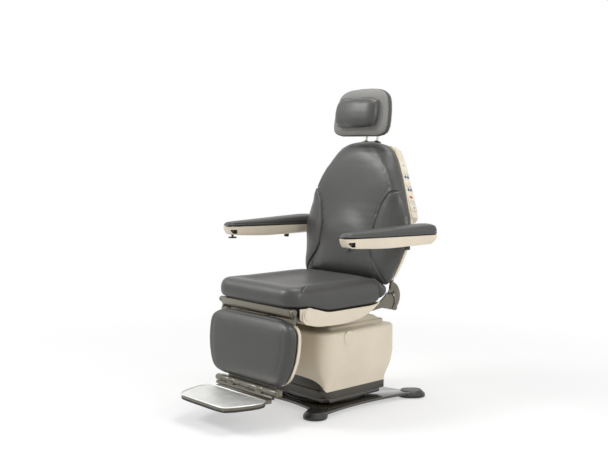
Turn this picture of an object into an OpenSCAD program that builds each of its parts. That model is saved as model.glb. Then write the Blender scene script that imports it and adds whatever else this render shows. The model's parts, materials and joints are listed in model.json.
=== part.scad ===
// Powered examination chair with lifting column, reclining back, swinging leg rest and folding footrest.
// The chair faces -Y and stands on z = 0. Places along Y are reaches from the turning axis.

/* [Stand] */
// Thickness of the four-armed base plate
base_t = 12; // [10:1:16]
// Height of the base plate's underside above the floor
base_clear = 16; // [14:1:20]
// Sideways place of the front feet
front_foot_x = 208; // [190:1:240]
// Reach of the front feet before the turning axis
front_foot_reach = 244; // [220:1:270]
// Sideways place of the rear feet
rear_foot_x = 243; // [220:1:270]
// Reach of the rear feet behind the turning axis
rear_foot_reach = 290; // [280:1:330]
// Length of a foot cap along its arm
foot_cap_l = 122; // [110:1:136]
// Width of a foot cap
foot_cap_w = 98; // [84:1:108]
// Height of a foot cap's top above the floor
foot_cap_top = 37; // [34:1:44]
// Radius of a levelling pad
pad_r = 21; // [16:1:26]

/* [Turning part] */
// Outer radius of the bearing ring under the turning part
ring_r = 178; // [150:1:190]
// Height of the bearing ring
ring_h = 12; // [10:1:16]
// Radius of the bearing spigot
spigot_r = 46; // [36:1:52]
// Half width of the plinth
plinth_x = 205; // [200:1:215]
// Reach of the plinth before the turning axis
plinth_front = 187; // [180:1:195]
// Reach of the plinth behind the turning axis
plinth_rear = 168; // [164:1:176]
// Height of the plinth's ledge that the cabinet rests on
plinth_ledge_z = 92; // [86:1:98]
// Height of the plinth's top edge inside the cabinet
plinth_top_z = 156; // [140:1:165]

/* [Cabinet] */
// Half width of the cabinet
cabinet_x = 217; // [215:1:222]
// Reach of the cabinet before the turning axis
cabinet_front = 199; // [197:1:206]
// Reach of the cabinet behind the turning axis
cabinet_rear = 213; // [211:1:220]
// Height of the cabinet's top
cabinet_top_z = 334; // [330:1:338]
// Wall of the moulded covers
cover_wall = 4; // [3:0.5:5]
// Radius of the round boss on each side of the cabinet
cabinet_boss_r = 28; // [20:1:34]
// Height of the arch in the cabinet's front
arch_h = 46; // [30:1:52]

/* [Lifting column] */
// Travel of the lift
lift_travel = 220; // [160:1:220]
// Half width of the fixed stage
column_x = 75; // [70:1:80]
// Half depth of the fixed stage
column_y = 85; // [80:1:90]
// Wall of the column stages
column_wall = 5; // [4:0.5:6]
// Gap between one stage and the next
stage_gap = 3.5; // [3:0.5:4]
// Radius of the lifting actuator's cylinder
ram_r = 30; // [26:1:34]
// Radius of the lifting actuator's rod
ram_rod_r = 18; // [14:1:20]

/* [Seat] */
// Height of the underside of the seat shell
shell_floor_z = 376; // [374:1:378]
// Half width of the seat shell
shell_x = 250; // [244:1:252]
// Distance of the seat shell's front behind the leg rest's axis
shell_set_back = 16; // [14:1:22]
// Reach of the seat shell behind the turning axis
shell_rear = 84; // [76:1:86]
// Height of the shell's rim along the seat's sides
rim_side_z = 431; // [429:1:436]
// Height of the shell's rim at the front
rim_front_z = 459; // [452:1:462]
// Half width of the seat cushion
seat_x = 252; // [246:1:256]
// Distance of the seat cushion's front before the leg rest's axis
seat_overhang = 36; // [32:1:38]
// Reach of the seat cushion behind the turning axis
seat_rear = 142; // [130:1:144]
// Height of the seat cushion's raised sides
seat_top_z = 540; // [530:1:545]
// Depth of the seat's dish under its raised sides
seat_dish = 19; // [10:1:22]
// Thickness of the seat board
seat_board_t = 12; // [9:1:14]

/* [Recline] */
// Height of the recline axis
recline_z = 452; // [450:1:454]
// Reach of the recline axis behind the turning axis
recline_reach = 158; // [156:1:160]
// Lean of the backrest from upright, at rest
back_tilt = 11; // [9:0.5:13]
// Radius of the circle that the cross tube runs on
crank_r = 62; // [60:1:64]
// Angle of the cross tube behind straight down, at rest
crank_back = 36.5; // [35:0.5:38]
// Radius of the recline pins
recline_pin_r = 9; // [7:1:11]

/* [Backrest] */
// Height of the backrest's top along its own slope
back_top = 668; // [640:1:680]
// Height of the backrest's lower edge along its own slope
back_low = 60; // [58:1:70]
// Half width of the backrest where it is widest
back_x = 315; // [305:1:316]
// Distance of the cushion's front face before the recline axis
back_face = 78; // [74:1:82]
// Distance of the cushion's base before the recline axis
back_base = 10; // [8:1:12]
// Rise of the lumbar crown
lumbar_rise = 13; // [4:1:16]
// Depth of the rear housing behind the recline axis
housing_depth = 46; // [40:1:54]

/* [Headrest] */
// Height of the headrest's lower edge along the backrest's slope
head_low = 674; // [671:1:690]
// Height of the headrest pad
head_h = 218; // [200:1:230]
// Half width of the headrest pad where it is widest
head_x = 169; // [150:1:180]
// Distance of the headrest pad's face before the recline axis
head_face = 106; // [102:1:110]
// Thickness of the headrest pad
head_pad_t = 38; // [30:1:42]
// Width of the pillow
pillow_w = 252; // [220:1:270]
// Height of the pillow
pillow_h = 134; // [110:1:150]
// Thickness of the pillow
pillow_t = 50; // [36:1:56]
// Sideways place of the headrest posts
post_x = 33; // [28:1:40]
// Radius of the headrest posts
post_r = 5; // [4:0.5:6]
// Travel of the headrest posts
head_travel = 90; // [60:1:100]

/* [Armrests] */
// Sideways place of an armrest's middle line
arm_x = 368; // [366:1:376]
// Half width of an armrest at its rear
arm_half = 45; // [40:1:46]
// Half width of an armrest at its tip
arm_tip_half = 27; // [22:1:32]
// Reach of the armrest's tip before its pivot
arm_front = 478; // [440:1:490]
// Reach of the armrest's end behind its pivot
arm_rear = 46; // [40:1:54]
// Height of the armrest pad's top above the pivot
arm_top = 63; // [58:1:68]
// Radius of an armrest's pivot pin
arm_pin_r = 8; // [6:1:9]

/* [Leg rest] */
// Height of the leg rest's axis
leg_axis_z = 447; // [446:1:449]
// Reach of the leg rest's axis before the turning axis
leg_reach = 378; // [376:1:380]
// Slope of the leg rest, at rest
leg_tilt = 6; // [4:0.5:7]
// Height of the leg pad
leg_pad_h = 276; // [260:1:284]
// Half width of the leg pad where it is widest
leg_pad_x = 270; // [250:1:275]
// Thickness of the leg pad
leg_pad_t = 46; // [38:1:48]
// Depth of the leg rest's rear cover
leg_shell_t = 27; // [24:1:32]
// Radius of the leg rest's pins
leg_pin_r = 6; // [5:0.5:7]

/* [Footrest] */
// Distance of the footrest's hinge below the leg rest's axis, along the slope
foot_hinge_drop = 322.7; // [318:0.1:330]
// Distance of the footrest's hinge before the leg rest's slope
foot_hinge_out = 18.4; // [16:0.1:22]
// Radius of the footrest's hinge knuckles
knuckle_r = 14; // [12:1:16]
// Half length of the footrest's hinge
foot_hinge_x = 192; // [180:1:200]
// Reach of the tread's front edge before the hinge
tread_reach = 233; // [210:1:240]
// Half width of the tread where it is widest
tread_x = 208; // [190:1:212]
// Depth of the tread's face below the hinge
tread_drop = 22; // [20:1:24]

/* [Hidden] */
$fn = 48;

// Colours
cream = [0.87, 0.83, 0.75];
bronze = [0.46, 0.44, 0.38];
vinyl = [0.29, 0.29, 0.28];
dark = [0.09, 0.09, 0.09];
bright = [0.78, 0.79, 0.80];
steel = [0.58, 0.59, 0.60];
red = [0.62, 0.10, 0.09];

// Shared small sizes
over = 2;
fit_gap = 0.05;
face_gap = 0.3;
half = 1 / 2;

// Points and outlines

function mix(a, b, t) = a + (b - a) * t;
function ease(t) = (1 - cos(180 * min(max(t, 0), 1))) / 2;
function arc(c, r, a0, a1, n) = [for (i = [0:n]) c + r * [cos(mix(a0, a1, i / n)),
    sin(mix(a0, a1, i / n))]];
function segment(t, table, i = 0) = i >= len(table) - 2 || t <= table[i + 1][0] ? i : segment(t, table,
    i + 1);
function slope(table, i) =
    let (a = table[max(i - 1, 0)], b = table[min(i + 1, len(table) - 1)]) (b[1] - a[1]) / (b[0] - a[0]);
// Value of a smooth curve through a table of [place, value] pairs
function curve(table, t) =
    let (i = segment(t, table), a = table[i], b = table[i + 1], h = b[0] - a[0], u = (t - a[0]) / h)
    (2 * u ^ 3 - 3 * u ^ 2 + 1) * a[1] + (u ^ 3 - 2 * u ^ 2 + u) * h * slope(table, i)
    + (3 * u ^ 2 - 2 * u ^ 3) * b[1] + (u ^ 3 - u ^ 2) * h * slope(table, i + 1);
// Points along each long side between two corners
function between(a, b, m) = m < 2 ? [] : [for (i = [1:m - 1]) mix(a, b, i / m)];
// Rectangle about the middle plane with its own corner radii at the front and the rear
function slab_outline(x, y0, y1, r0, r1, n = 8, m = 1) = concat(
    arc([x - r0, y0 + r0], r0, -90, 0, n), between([x, y0 + r0], [x, y1 - r1], m),
    arc([x - r1, y1 - r1], r1, 0, 90, n), between([x - r1, y1], [r1 - x, y1], m),
    arc([r1 - x, y1 - r1], r1, 90, 180, n), between([-x, y1 - r1], [-x, y0 + r0], m),
    arc([r0 - x, y0 + r0], r0, 180, 270, n), between([r0 - x, y0], [x - r0, y0], m));
// Outline about the middle plane from a table of [height, half width] pairs
function width_outline(table, places) = concat([for (z = places) [curve(table, z), z]],
    [for (i = [len(places) - 1:-1:0]) [-curve(table, places[i]), places[i]]]);
// The same outline shrunk about a middle point
function shrunk(points, c, k) = [for (p = points) [c.x + (p.x - c.x) * k.x, c.y + (p.y - c.y) * k.y]];
// Flat and standing rings of an outline
function ring_xy(points, z) = [for (p = points) [p.x, p.y, z]];
function ring_xz(points, y) = [for (p = points) [p.x, y, p.y]];
function middle(points) = [for (p = points) 1] * points / len(points);
function reversed(points) = [for (i = [len(points) - 1:-1:0]) points[i]];
function mirrored(points) = [for (p = points) [-p.x, p.y]];

// Section of a cushion that faces -Y: drawn in to its base, widest at a line, a sewn channel at its seam
side_turns = [0, 20, 40, 58, 74, 90];
face_shares = [0.93, 0.7, 0.45, 0.2];
function pad_section(w, seam, base, wide, front, crown, channel, tuck) = let (
    right = concat([[w - tuck, base]],
        [for (a = side_turns) [mix(seam, w, cos(a)), mix(wide, front, sin(a))]],
        [[seam * mix(1, face_shares[0], half), front + channel]],
        [for (t = face_shares) [seam * t, front - crown * (1 - t ^ 2)]]))
    concat(mirrored(right), [[0, front - crown]], reversed(right));
function row_xy(section, z) = [for (p = section) [p.x, p.y, z]];
function row_up(section, y) = [for (p = section) [p.x, y, -p.y]];

// Closed form through a stack of rings with equal counts, each anticlockwise seen from the last one
module loft(rings) {
    n = len(rings[0]);
    m = len(rings);
    points = concat([for (ring = rings) each ring], [middle(rings[0]), middle(rings[m - 1])]);
    sides = [for (k = [0:m - 2], i = [0:n - 1]) let (j = (i + 1) % n, a = k * n)
        each [[a + i, a + n + i, a + n + j], [a + i, a + n + j, a + j]]];
    low = [for (i = [0:n - 1]) [n * m, i, (i + 1) % n]];
    high = [for (i = [0:n - 1]) [n * m + 1, n * (m - 1) + (i + 1) % n, n * (m - 1) + i]];
    polyhedron(points, concat(low, sides, high));
}
// Bar from one place to another along X
module bar_x(x0, x1, r) {
    translate([x0, 0, 0]) rotate([0, 90, 0]) cylinder(h = x1 - x0, r = r);
}
// Plate with an outline in Y and Z, from one place to another along X
module plate_x(x0, x1) {
    translate([x0, 0, 0]) rotate([90, 0, 90]) linear_extrude(x1 - x0) children();
}
// Plate with an outline in X and Z, from one place to another along Y
module plate_y(y0, y1) {
    translate([0, y1, 0]) rotate([90, 0, 0]) linear_extrude(y1 - y0) children();
}
module both_sides() {
    children();
    mirror([1, 0, 0]) children();
}
module block(x, y, z) {
    translate([x[0], y[0], z[0]]) cube([x[1] - x[0], y[1] - y[0], z[1] - z[0]]);
}
// Rounded rectangle about the middle plane with true round corners
module slab(x, y0, y1, r0, r1) {
    for (s = [1, -1]) {
        translate([s * (x - r0), y0 + r0]) circle(r = r0);
        translate([s * (x - r1), y1 - r1]) circle(r = r1);
    }
    translate([-x, y0 + r0]) square([2 * x, y1 - r1 - y0 - r0]);
    translate([r0 - x, y0]) square([2 * (x - r0), r0 + over]);
    translate([r1 - x, y1 - r1 - over]) square([2 * (x - r1), r1 + over]);
}

// Places of the main axes
foot_hinge_y = -leg_reach - foot_hinge_out * cos(leg_tilt) - foot_hinge_drop * sin(leg_tilt);
foot_hinge_z = leg_axis_z + foot_hinge_out * sin(leg_tilt) - foot_hinge_drop * cos(leg_tilt);
rear_foot_turn = atan2(rear_foot_reach, rear_foot_x);
front_foot_turn = atan2(-front_foot_reach, front_foot_x);
cap_slack = (foot_cap_l - foot_cap_w) / 2;
chair_front = foot_hinge_y - tread_reach;
chair_rear = rear_foot_reach + cap_slack * sin(rear_foot_turn) + foot_cap_w / 2;
swivel_y = -(chair_front + chair_rear) / 2;

module on_swivel() {
    translate([0, swivel_y, 0]) children();
}
module on_leg() {
    translate([0, swivel_y - leg_reach, leg_axis_z]) rotate([-leg_tilt, 0, 0]) children();
}
module on_foot() {
    translate([0, swivel_y + foot_hinge_y, foot_hinge_z]) children();
}
module on_back() {
    translate([0, swivel_y + recline_reach, recline_z]) rotate([-back_tilt, 0, 0]) children();
}

// Stand

base_top = base_clear + base_t;
// Widening of the arms into the caps, and the crown of a cap
base_arm_in = 11;
foot_places = [[front_foot_x, -front_foot_reach, front_foot_turn],
    [rear_foot_x, rear_foot_reach, rear_foot_turn]];
pad_h = 4;
pad_stem_r = 5;
cap_mid_z = 17;
cap_crown_share = 0.66;
base_arm_r = foot_cap_w / 2 - base_arm_in;
// Hollow of each side of the base plate, as the least half width or reach that is left there
base_waist_x = 232;
base_waist_front = 210;
base_waist_rear = 232;
base_side_r = 1150;
base_front_r = 640;
base_rear_r = 620;
waist_y = (rear_foot_reach - front_foot_reach) / 2 - base_arm_r;
base_right = [[front_foot_x, -front_foot_reach - base_arm_r],
    [front_foot_x + base_arm_r, -front_foot_reach],
    [rear_foot_x + base_arm_r, rear_foot_reach], [rear_foot_x, rear_foot_reach + base_arm_r]];

module foot_at(place) {
    translate([place.x, place.y, 0]) rotate([0, 0, place.z]) children();
}
module base_plan() {
    difference() {
        polygon(concat(base_right, mirrored(reversed(base_right))));
        translate([base_waist_x + base_side_r, waist_y]) circle(r = base_side_r, $fn = 180);
        translate([-base_waist_x - base_side_r, waist_y]) circle(r = base_side_r, $fn = 180);
        translate([0, -base_waist_front - base_front_r]) circle(r = base_front_r, $fn = 180);
        translate([0, base_waist_rear + base_rear_r]) circle(r = base_rear_r, $fn = 180);
    }
    for (place = foot_places, s = [1, -1]) translate([s * place.x, place.y]) circle(r = base_arm_r);
}
module base_frame() {
    color(bronze) on_swivel() difference() {
        translate([0, 0, base_clear]) linear_extrude(base_t) base_plan();
        translate([0, 0, base_clear - over]) cylinder(h = base_t + 2 * over, r = spigot_r + fit_gap,
            $fn = 96);
    }
}
module cap_ring(z, h, r) {
    translate([0, 0, z]) for (s = [1, -1]) translate([s * cap_slack, 0, 0]) cylinder(h = h, r = r,
        $fn = 32);
}
module foot_caps() {
    color(dark) on_swivel() difference() {
        both_sides() for (place = foot_places) foot_at(place) difference() {
            hull() {
                cap_ring(pad_h, cap_mid_z - pad_h, foot_cap_w / 2);
                cap_ring(cap_mid_z, foot_cap_top - cap_mid_z, cap_crown_share * foot_cap_w / 2);
            }
            cylinder(h = base_clear, r = pad_stem_r + fit_gap);
        }
        translate([0, 0, base_clear]) linear_extrude(base_t) base_plan();
    }
}
module levelling_pads() {
    color(steel) on_swivel() both_sides() for (place = foot_places) foot_at(place) {
        cylinder(h = pad_h, r = pad_r);
        cylinder(h = base_clear, r = pad_stem_r);
    }
}
ring_step = 14;
module swivel_ring() {
    color(dark) on_swivel() translate([0, 0, base_top]) rotate_extrude($fn = 96) polygon([
        [spigot_r + fit_gap, 0], [ring_r, 0], [ring_r, ring_h * half],
        [ring_r - ring_step, ring_h * half],
        [ring_r - ring_step, ring_h], [spigot_r + fit_gap, ring_h]]);
}

// Turning part

turn_z = base_top + ring_h + face_gap;
table_t = 18;
plinth_floor = 6;
table_x = 196;
table_corner = 26;
table_notch_r = 34;
plinth_wall = 4;
plinth_step = 7;
plinth_corner = 56;
plinth_rear_corner = 18;
plinth_low_z = turn_z + table_t;

module turntable_plate() {
    color(bronze) on_swivel() {
        translate([0, 0, turn_z]) linear_extrude(table_t) difference() {
            slab(table_x, -plinth_front + table_corner / 2, plinth_rear - table_corner / 2, table_corner,
                table_corner);
            for (s = [1, -1]) translate([s * table_x, -plinth_front]) circle(r = table_notch_r);
        }
        translate([0, 0, base_clear]) cylinder(h = turn_z - base_clear, r = spigot_r, $fn = 96);
    }
}
module plinth_plan(d) {
    slab(plinth_x - d, -plinth_front + d, plinth_rear - d, plinth_corner - d, plinth_rear_corner - d);
}
module plinth() {
    color(bronze) on_swivel() difference() {
        union() {
            translate([0, 0, plinth_low_z]) linear_extrude(plinth_ledge_z - plinth_low_z) plinth_plan(0);
            translate([0, 0, plinth_low_z]) linear_extrude(plinth_top_z - plinth_low_z)
                plinth_plan(plinth_step);
        }
        translate([0, 0, plinth_low_z + plinth_floor]) linear_extrude(plinth_top_z)
            plinth_plan(plinth_step + plinth_wall);
    }
}

// Outline of the cabinet at a height, drawn in where it tapers down to its foot and rounds over to its top
cabinet_corner = 74;
cabinet_foot_corner = 22;
cabinet_rear_corner = 26;
cabinet_taper_z = 170;
cabinet_foot_in = 10;
cabinet_foot_rear_in = 42;
cabinet_rear_z = 215;
cabinet_shoulder = 16;
function cabinet_ring(z, d, n) = let (
    low = 1 - ease((z - plinth_ledge_z) / (cabinet_taper_z - plinth_ledge_z)),
    rear = 1 - ease((z - plinth_ledge_z) / (cabinet_rear_z - plinth_ledge_z)),
    e = d + cabinet_foot_in * low)
    slab_outline(cabinet_x - e, -cabinet_front + e, cabinet_rear - d - cabinet_foot_rear_in * rear,
        mix(cabinet_corner, cabinet_foot_corner, rear) - e, cabinet_rear_corner - d, n);
shoulder_turns = [0, 22, 45, 68, 90];
foot_shares = [0, 0.25, 0.5, 0.75];
function cabinet_form(low, top, d, n) = concat(
    [for (t = foot_shares) let (z = mix(low, cabinet_taper_z, t)) ring_xy(cabinet_ring(z, d, n), z)],
    [for (z = [cabinet_taper_z, cabinet_rear_z]) ring_xy(cabinet_ring(z, d, n), z)],
    [for (a = shoulder_turns) ring_xy(cabinet_ring(top, d + cabinet_shoulder * (1 - cos(a)), n),
        top - cabinet_shoulder * (1 - sin(a)))]);
// Outer cover of the lifting column, and the opening it passes
cover_x = 152;
cover_front = 112;
cover_rear = 195;
cover_corner = 18;
cover_gap = 6;
collar_t = 5;
collar_rise = 10;
arch_shares = [[0, 1], [0.45, 0.97], [0.72, 0.84], [0.9, 0.5], [1, 0]];
arch_steps = 12;
cabinet_boss_y = 67;
cabinet_boss_drop = 30;
cabinet_boss_rise = 3;

module cover_plan(d) {
    slab(cover_x - d, -cover_front + d, cover_rear - d, cover_corner - d / 2, cover_corner - d / 2);
}
module arch_profile() {
    arch = [for (i = [0:arch_steps]) let (t = i / arch_steps)
        [t * (cabinet_x - cabinet_foot_in), plinth_ledge_z + arch_h * curve(arch_shares, t)]];
    polygon(concat([[-cabinet_x, plinth_ledge_z - over], [cabinet_x, plinth_ledge_z - over]],
        reversed(arch),
        mirrored([for (i = [1:arch_steps]) arch[i]])));
}
module cabinet() {
    color(cream) on_swivel() difference() {
        union() {
            loft(cabinet_form(plinth_ledge_z, cabinet_top_z, 0, 10));
            both_sides() translate([cabinet_x - cover_wall, -cabinet_boss_y,
                cabinet_top_z - cabinet_boss_drop])
                rotate([0, 90, 0]) cylinder(h = cover_wall + cabinet_boss_rise, r = cabinet_boss_r);
            translate([0, 0, cabinet_top_z - cover_wall]) linear_extrude(cover_wall + collar_rise)
                cover_plan(-cover_gap - collar_t);
        }
        loft(cabinet_form(plinth_ledge_z - over, cabinet_top_z - cover_wall, cover_wall, 6));
        plate_y(-cabinet_front - over, -cabinet_front + cabinet_corner) arch_profile();
        translate([0, 0, cabinet_top_z - 2 * cabinet_shoulder]) linear_extrude(3 * cabinet_shoulder)
            cover_plan(-cover_gap);
    }
}

// Lifting column

column_low_z = plinth_low_z + plinth_floor;
column_top_drop = 9;
outer_top_z = cabinet_top_z - column_top_drop;
step_in = column_wall + stage_gap;
middle_x = column_x - step_in;
middle_y = column_y - step_in;
middle_low_z = column_low_z + column_wall;
middle_top_z = outer_top_z + 2 * column_wall;
inner_x = middle_x - step_in;
inner_y = middle_y - step_in;
inner_low_z = middle_low_z + column_wall;
pan_low_z = shell_floor_z + cover_wall;
flange_w = 24;
glide_l = 30;
glide_w = 60;
glide_t = stage_gap - face_gap;
ram_top_drop = 7;

module stage(x, y, z0, z1) {
    difference() {
        block([-x, x], [-y, y], [z0, z1]);
        block([-x + column_wall, x - column_wall], [-y + column_wall, y - column_wall],
            [z0 - over, z1 + over]);
    }
}
module lift_outer_column() {
    color(steel) on_swivel() {
        stage(column_x, column_y, column_low_z, outer_top_z);
        difference() {
            block([-column_x - flange_w, column_x + flange_w],
                [-column_y - flange_w, column_y + flange_w],
                [column_low_z, column_low_z + column_wall]);
            block([-column_x, column_x], [-column_y, column_y],
                [column_low_z - over, column_low_z + 2 * column_wall]);
            both_sides() for (s = [1, -1]) translate([column_x + flange_w / 2,
                s * (column_y + flange_w / 2),
                column_low_z - over]) cylinder(h = column_wall + 2 * over, r = leg_pin_r);
        }
    }
}
module lift_ram_body() {
    color(dark) on_swivel() difference() {
        translate([0, 0, column_low_z]) cylinder(h = outer_top_z - ram_top_drop - column_low_z,
            r = ram_r);
        translate([0, 0, inner_low_z]) cylinder(h = outer_top_z, r = ram_rod_r + fit_gap);
    }
}
module lift_middle_column() {
    xi = middle_x - column_wall;
    yi = middle_y - column_wall;
    g = glide_w / 2;
    color(steel) on_swivel() {
        stage(middle_x, middle_y, middle_low_z, middle_top_z);
        both_sides() {
            block([middle_x, middle_x + glide_t], [-g, g], [middle_low_z, middle_low_z + glide_l]);
            block([xi - glide_t, xi], [-g, g], [middle_top_z - glide_l, middle_top_z]);
        }
        for (s = [0, 1]) mirror([0, s, 0]) {
            block([-g, g], [middle_y, middle_y + glide_t], [middle_low_z, middle_low_z + glide_l]);
            block([-g, g], [yi - glide_t, yi], [middle_top_z - glide_l, middle_top_z]);
        }
    }
}
// Inner cover, carried by the middle stage above the fixed stage's top
lower_in = 10;
lower_cover_h = 149;
module lift_cover_lower() {
    top_t = middle_top_z - outer_top_z - stage_gap;
    color(cream) on_swivel() difference() {
        translate([0, 0, middle_top_z - lower_cover_h]) linear_extrude(lower_cover_h) cover_plan(lower_in);
        translate([0, 0, middle_top_z - lower_cover_h - over]) linear_extrude(lower_cover_h - top_t
            + over)
            cover_plan(lower_in + cover_wall);
        block([-middle_x, middle_x], [-middle_y, middle_y], [outer_top_z, middle_top_z + over]);
    }
}
module lift_inner_column() {
    color(steel) on_swivel() stage(inner_x, inner_y, inner_low_z, pan_low_z);
}
module lift_ram_rod() {
    color(bright) on_swivel() translate([0, 0, inner_low_z + face_gap])
        cylinder(h = pan_low_z - inner_low_z - face_gap, r = ram_rod_r);
}
// Outer cover, carried by the seat, with its rear top sloping down clear of the backrest's cross tube
upper_cover_low_z = 200;
cover_step_y = 86;
cover_step_z = 368;
cover_slope_y = 142;
cover_rear_z = 340;
function cover_profile(d) = [[-cover_front - over, upper_cover_low_z - over],
    [cover_rear + over, upper_cover_low_z - over],
    [cover_rear + over, cover_rear_z - d], [cover_rear, cover_rear_z - d],
    [cover_slope_y, cover_step_z - d],
    [cover_step_y + over, cover_step_z - d], [cover_step_y - d * half, pan_low_z - face_gap - d],
    [-cover_front - over, pan_low_z - face_gap - d]];
module cover_body(d, e) {
    intersection() {
        translate([0, 0, upper_cover_low_z - e]) linear_extrude(pan_low_z - upper_cover_low_z
            + 2 * over) cover_plan(d);
        plate_x(-cover_x, cover_x) polygon(cover_profile(d));
    }
}
module lift_cover_upper() {
    x = inner_x + face_gap;
    y = inner_y + face_gap;
    color(cream) on_swivel() difference() {
        cover_body(0, 0);
        cover_body(cover_wall, over);
        block([-x, x], [-y, y], [cover_step_z - cover_wall, pan_low_z + over]);
    }
}

// Seat

pan_t = 5;
pan_set_back = 128;
pan_front = leg_reach - pan_set_back;
pan_rear = 88;
pan_x = 150;
rail_out = 216;
rail_in = 190;
rail_set_back = 28;
rail_front = leg_reach - rail_set_back;
rail_rear = 10;
cross_w = 20;
cross_t = 7;
seat_board_z = rim_side_z - seat_board_t;
act_x = 60;
act_r = 12.5;
act_z = pan_low_z + pan_t + act_r;
act_rod_r = 6;
lightening_r = 38;
lightening_set_back = 213;
lightening_y = leg_reach - lightening_set_back;
bearer_y = 84;
bearer_t = 5;

module seat_frame() {
    color(bronze) on_swivel() {
        difference() {
            union() {
                block([-rail_out, rail_out], [-pan_front, rail_rear], [pan_low_z, pan_low_z + pan_t]);
                block([-pan_x, pan_x], [-pan_front, pan_rear], [pan_low_z, pan_low_z + pan_t]);
            }
            both_sides() translate([(act_x + act_r + rail_in) / 2, -lightening_y, pan_low_z - over])
                cylinder(h = pan_t + 2 * over, r = lightening_r);
        }
        both_sides() block([rail_in, rail_out], [-pan_front, rail_rear],
            [pan_low_z + pan_t, seat_board_z]);
        both_sides() block([rail_in, rail_out], [-rail_front, -pan_front], [act_z + act_r, seat_board_z]);
        block([-rail_in, rail_in], [-rail_front, -rail_front + cross_w],
            [seat_board_z - cross_t, seat_board_z]);
        for (y = [-pan_front, -bearer_y]) block([-rail_in, rail_in], [y, y + cross_w],
            [seat_board_z - bearer_t, seat_board_z]);
    }
}

// Hinge plates at the front ears and the rear recline pivot
ear_t = 8;
ear_boss_r = 12.5;
rear_plate_x = 236;
rear_plate_t = 8;
spacer_front = 60;
rear_plate_outline = [[-70, 396], [120, 414], [150, 400], [170, 400], [188, 441], [182, 466], [128, 464],
    [84, 434],
    [60, 430], [-70, 430]];
// Upper and lower edges of a front ear, as distances behind the leg rest's axis
ear_upper = [[78, 406], [78, 419], [36, 419], [22, 426], [10, 440]];
ear_low = [[-11, 440], [4, 416], [22, 404], [48, 406]];
function from_leg(points) = [for (p = points) [p.x - leg_reach, p.y]];
pin_head_r = 10;
pin_head_t = 5;
pin_in = 16;
recline_head_r = 14;
crescent_x = 222;
crescent_t = 12;
leg_ear_x = rail_out + ear_t + face_gap;
leg_head_x = leg_ear_x + ear_t + face_gap;

module hinge_plates() {
    color(bronze) on_swivel() both_sides() {
        difference() {
            plate_x(rail_out, rail_out + ear_t) union() {
                polygon(from_leg(concat(ear_upper, [[0, leg_axis_z]], ear_low)));
                translate([-leg_reach, leg_axis_z]) circle(r = ear_boss_r);
            }
            translate([0, -leg_reach, leg_axis_z]) bar_x(rail_out - over, rail_out + ear_t + over,
                leg_pin_r + fit_gap);
        }
        difference() {
            plate_x(rear_plate_x, rear_plate_x + rear_plate_t) polygon(rear_plate_outline);
            translate([0, recline_reach, recline_z])
                bar_x(rear_plate_x - over, rear_plate_x + rear_plate_t + over, recline_pin_r + fit_gap);
        }
        block([rail_out, rear_plate_x], [-spacer_front, 0], [rear_plate_outline[0].y, seat_board_z]);
    }
}
module hinge_pins() {
    color(steel) on_swivel() both_sides() {
        translate([0, -leg_reach, leg_axis_z]) {
            bar_x(rail_out - pin_in, leg_head_x + pin_head_t * half, leg_pin_r);
            bar_x(leg_head_x, leg_head_x + pin_head_t, pin_head_r);
        }
        translate([0, recline_reach, recline_z]) {
            bar_x(crescent_x - face_gap - pin_head_t, rear_plate_x + rear_plate_t + pin_head_t,
                recline_pin_r);
            bar_x(crescent_x - face_gap - pin_head_t, crescent_x - face_gap, recline_head_r);
            bar_x(rear_plate_x + rear_plate_t, rear_plate_x + rear_plate_t + pin_head_t, recline_head_r);
        }
    }
}
// Channel along the leg rest's axis, closed at its ends by blocks that hold the pins
rail_u_r = 14;
rail_u_drop = 7;
rail_u_top = 11;
rail_u_t = 3;
module rail_section(d) {
    translate([0, -rail_u_drop]) circle(r = rail_u_r - d);
    translate([-rail_u_r + d, -rail_u_drop])
        square([2 * (rail_u_r - d), rail_u_drop + rail_u_top + 2 * d]);
}
module front_rail() {
    end_x = rail_out - face_gap;
    color(cream) on_swivel() translate([0, -leg_reach, leg_axis_z]) difference() {
        plate_x(-end_x, end_x) rail_section(0);
        plate_x(-end_x + pin_in, end_x - pin_in) rail_section(rail_u_t);
        both_sides() bar_x(end_x - pin_in - over, end_x + over, leg_pin_r + fit_gap);
    }
}

// Rim line of the seat shell and the top line of the cushion
shell_front = leg_reach - shell_set_back;
seat_front = leg_reach + seat_overhang;
rim_set_back = 48;
rim_front_y = rim_set_back - leg_reach;
rim_blend = 140;
rim_rear_y = 20;
rim_rear_rise = 60;
rim_power = 2.5;
function rim_z(y) = rim_side_z + (rim_front_z - rim_side_z) * (1 - ease((y - rim_front_y) / rim_blend))
    + rim_rear_rise * (max(0, y - rim_rear_y) / (seat_rear - rim_rear_y)) ^ rim_power;
seat_fall = 34;
seat_fall_y = 64;
seat_fall_l = 74;
function seat_line(y) = seat_top_z - seat_fall * ease((y - seat_fall_y) / seat_fall_l);
shell_steps = 24;
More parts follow.
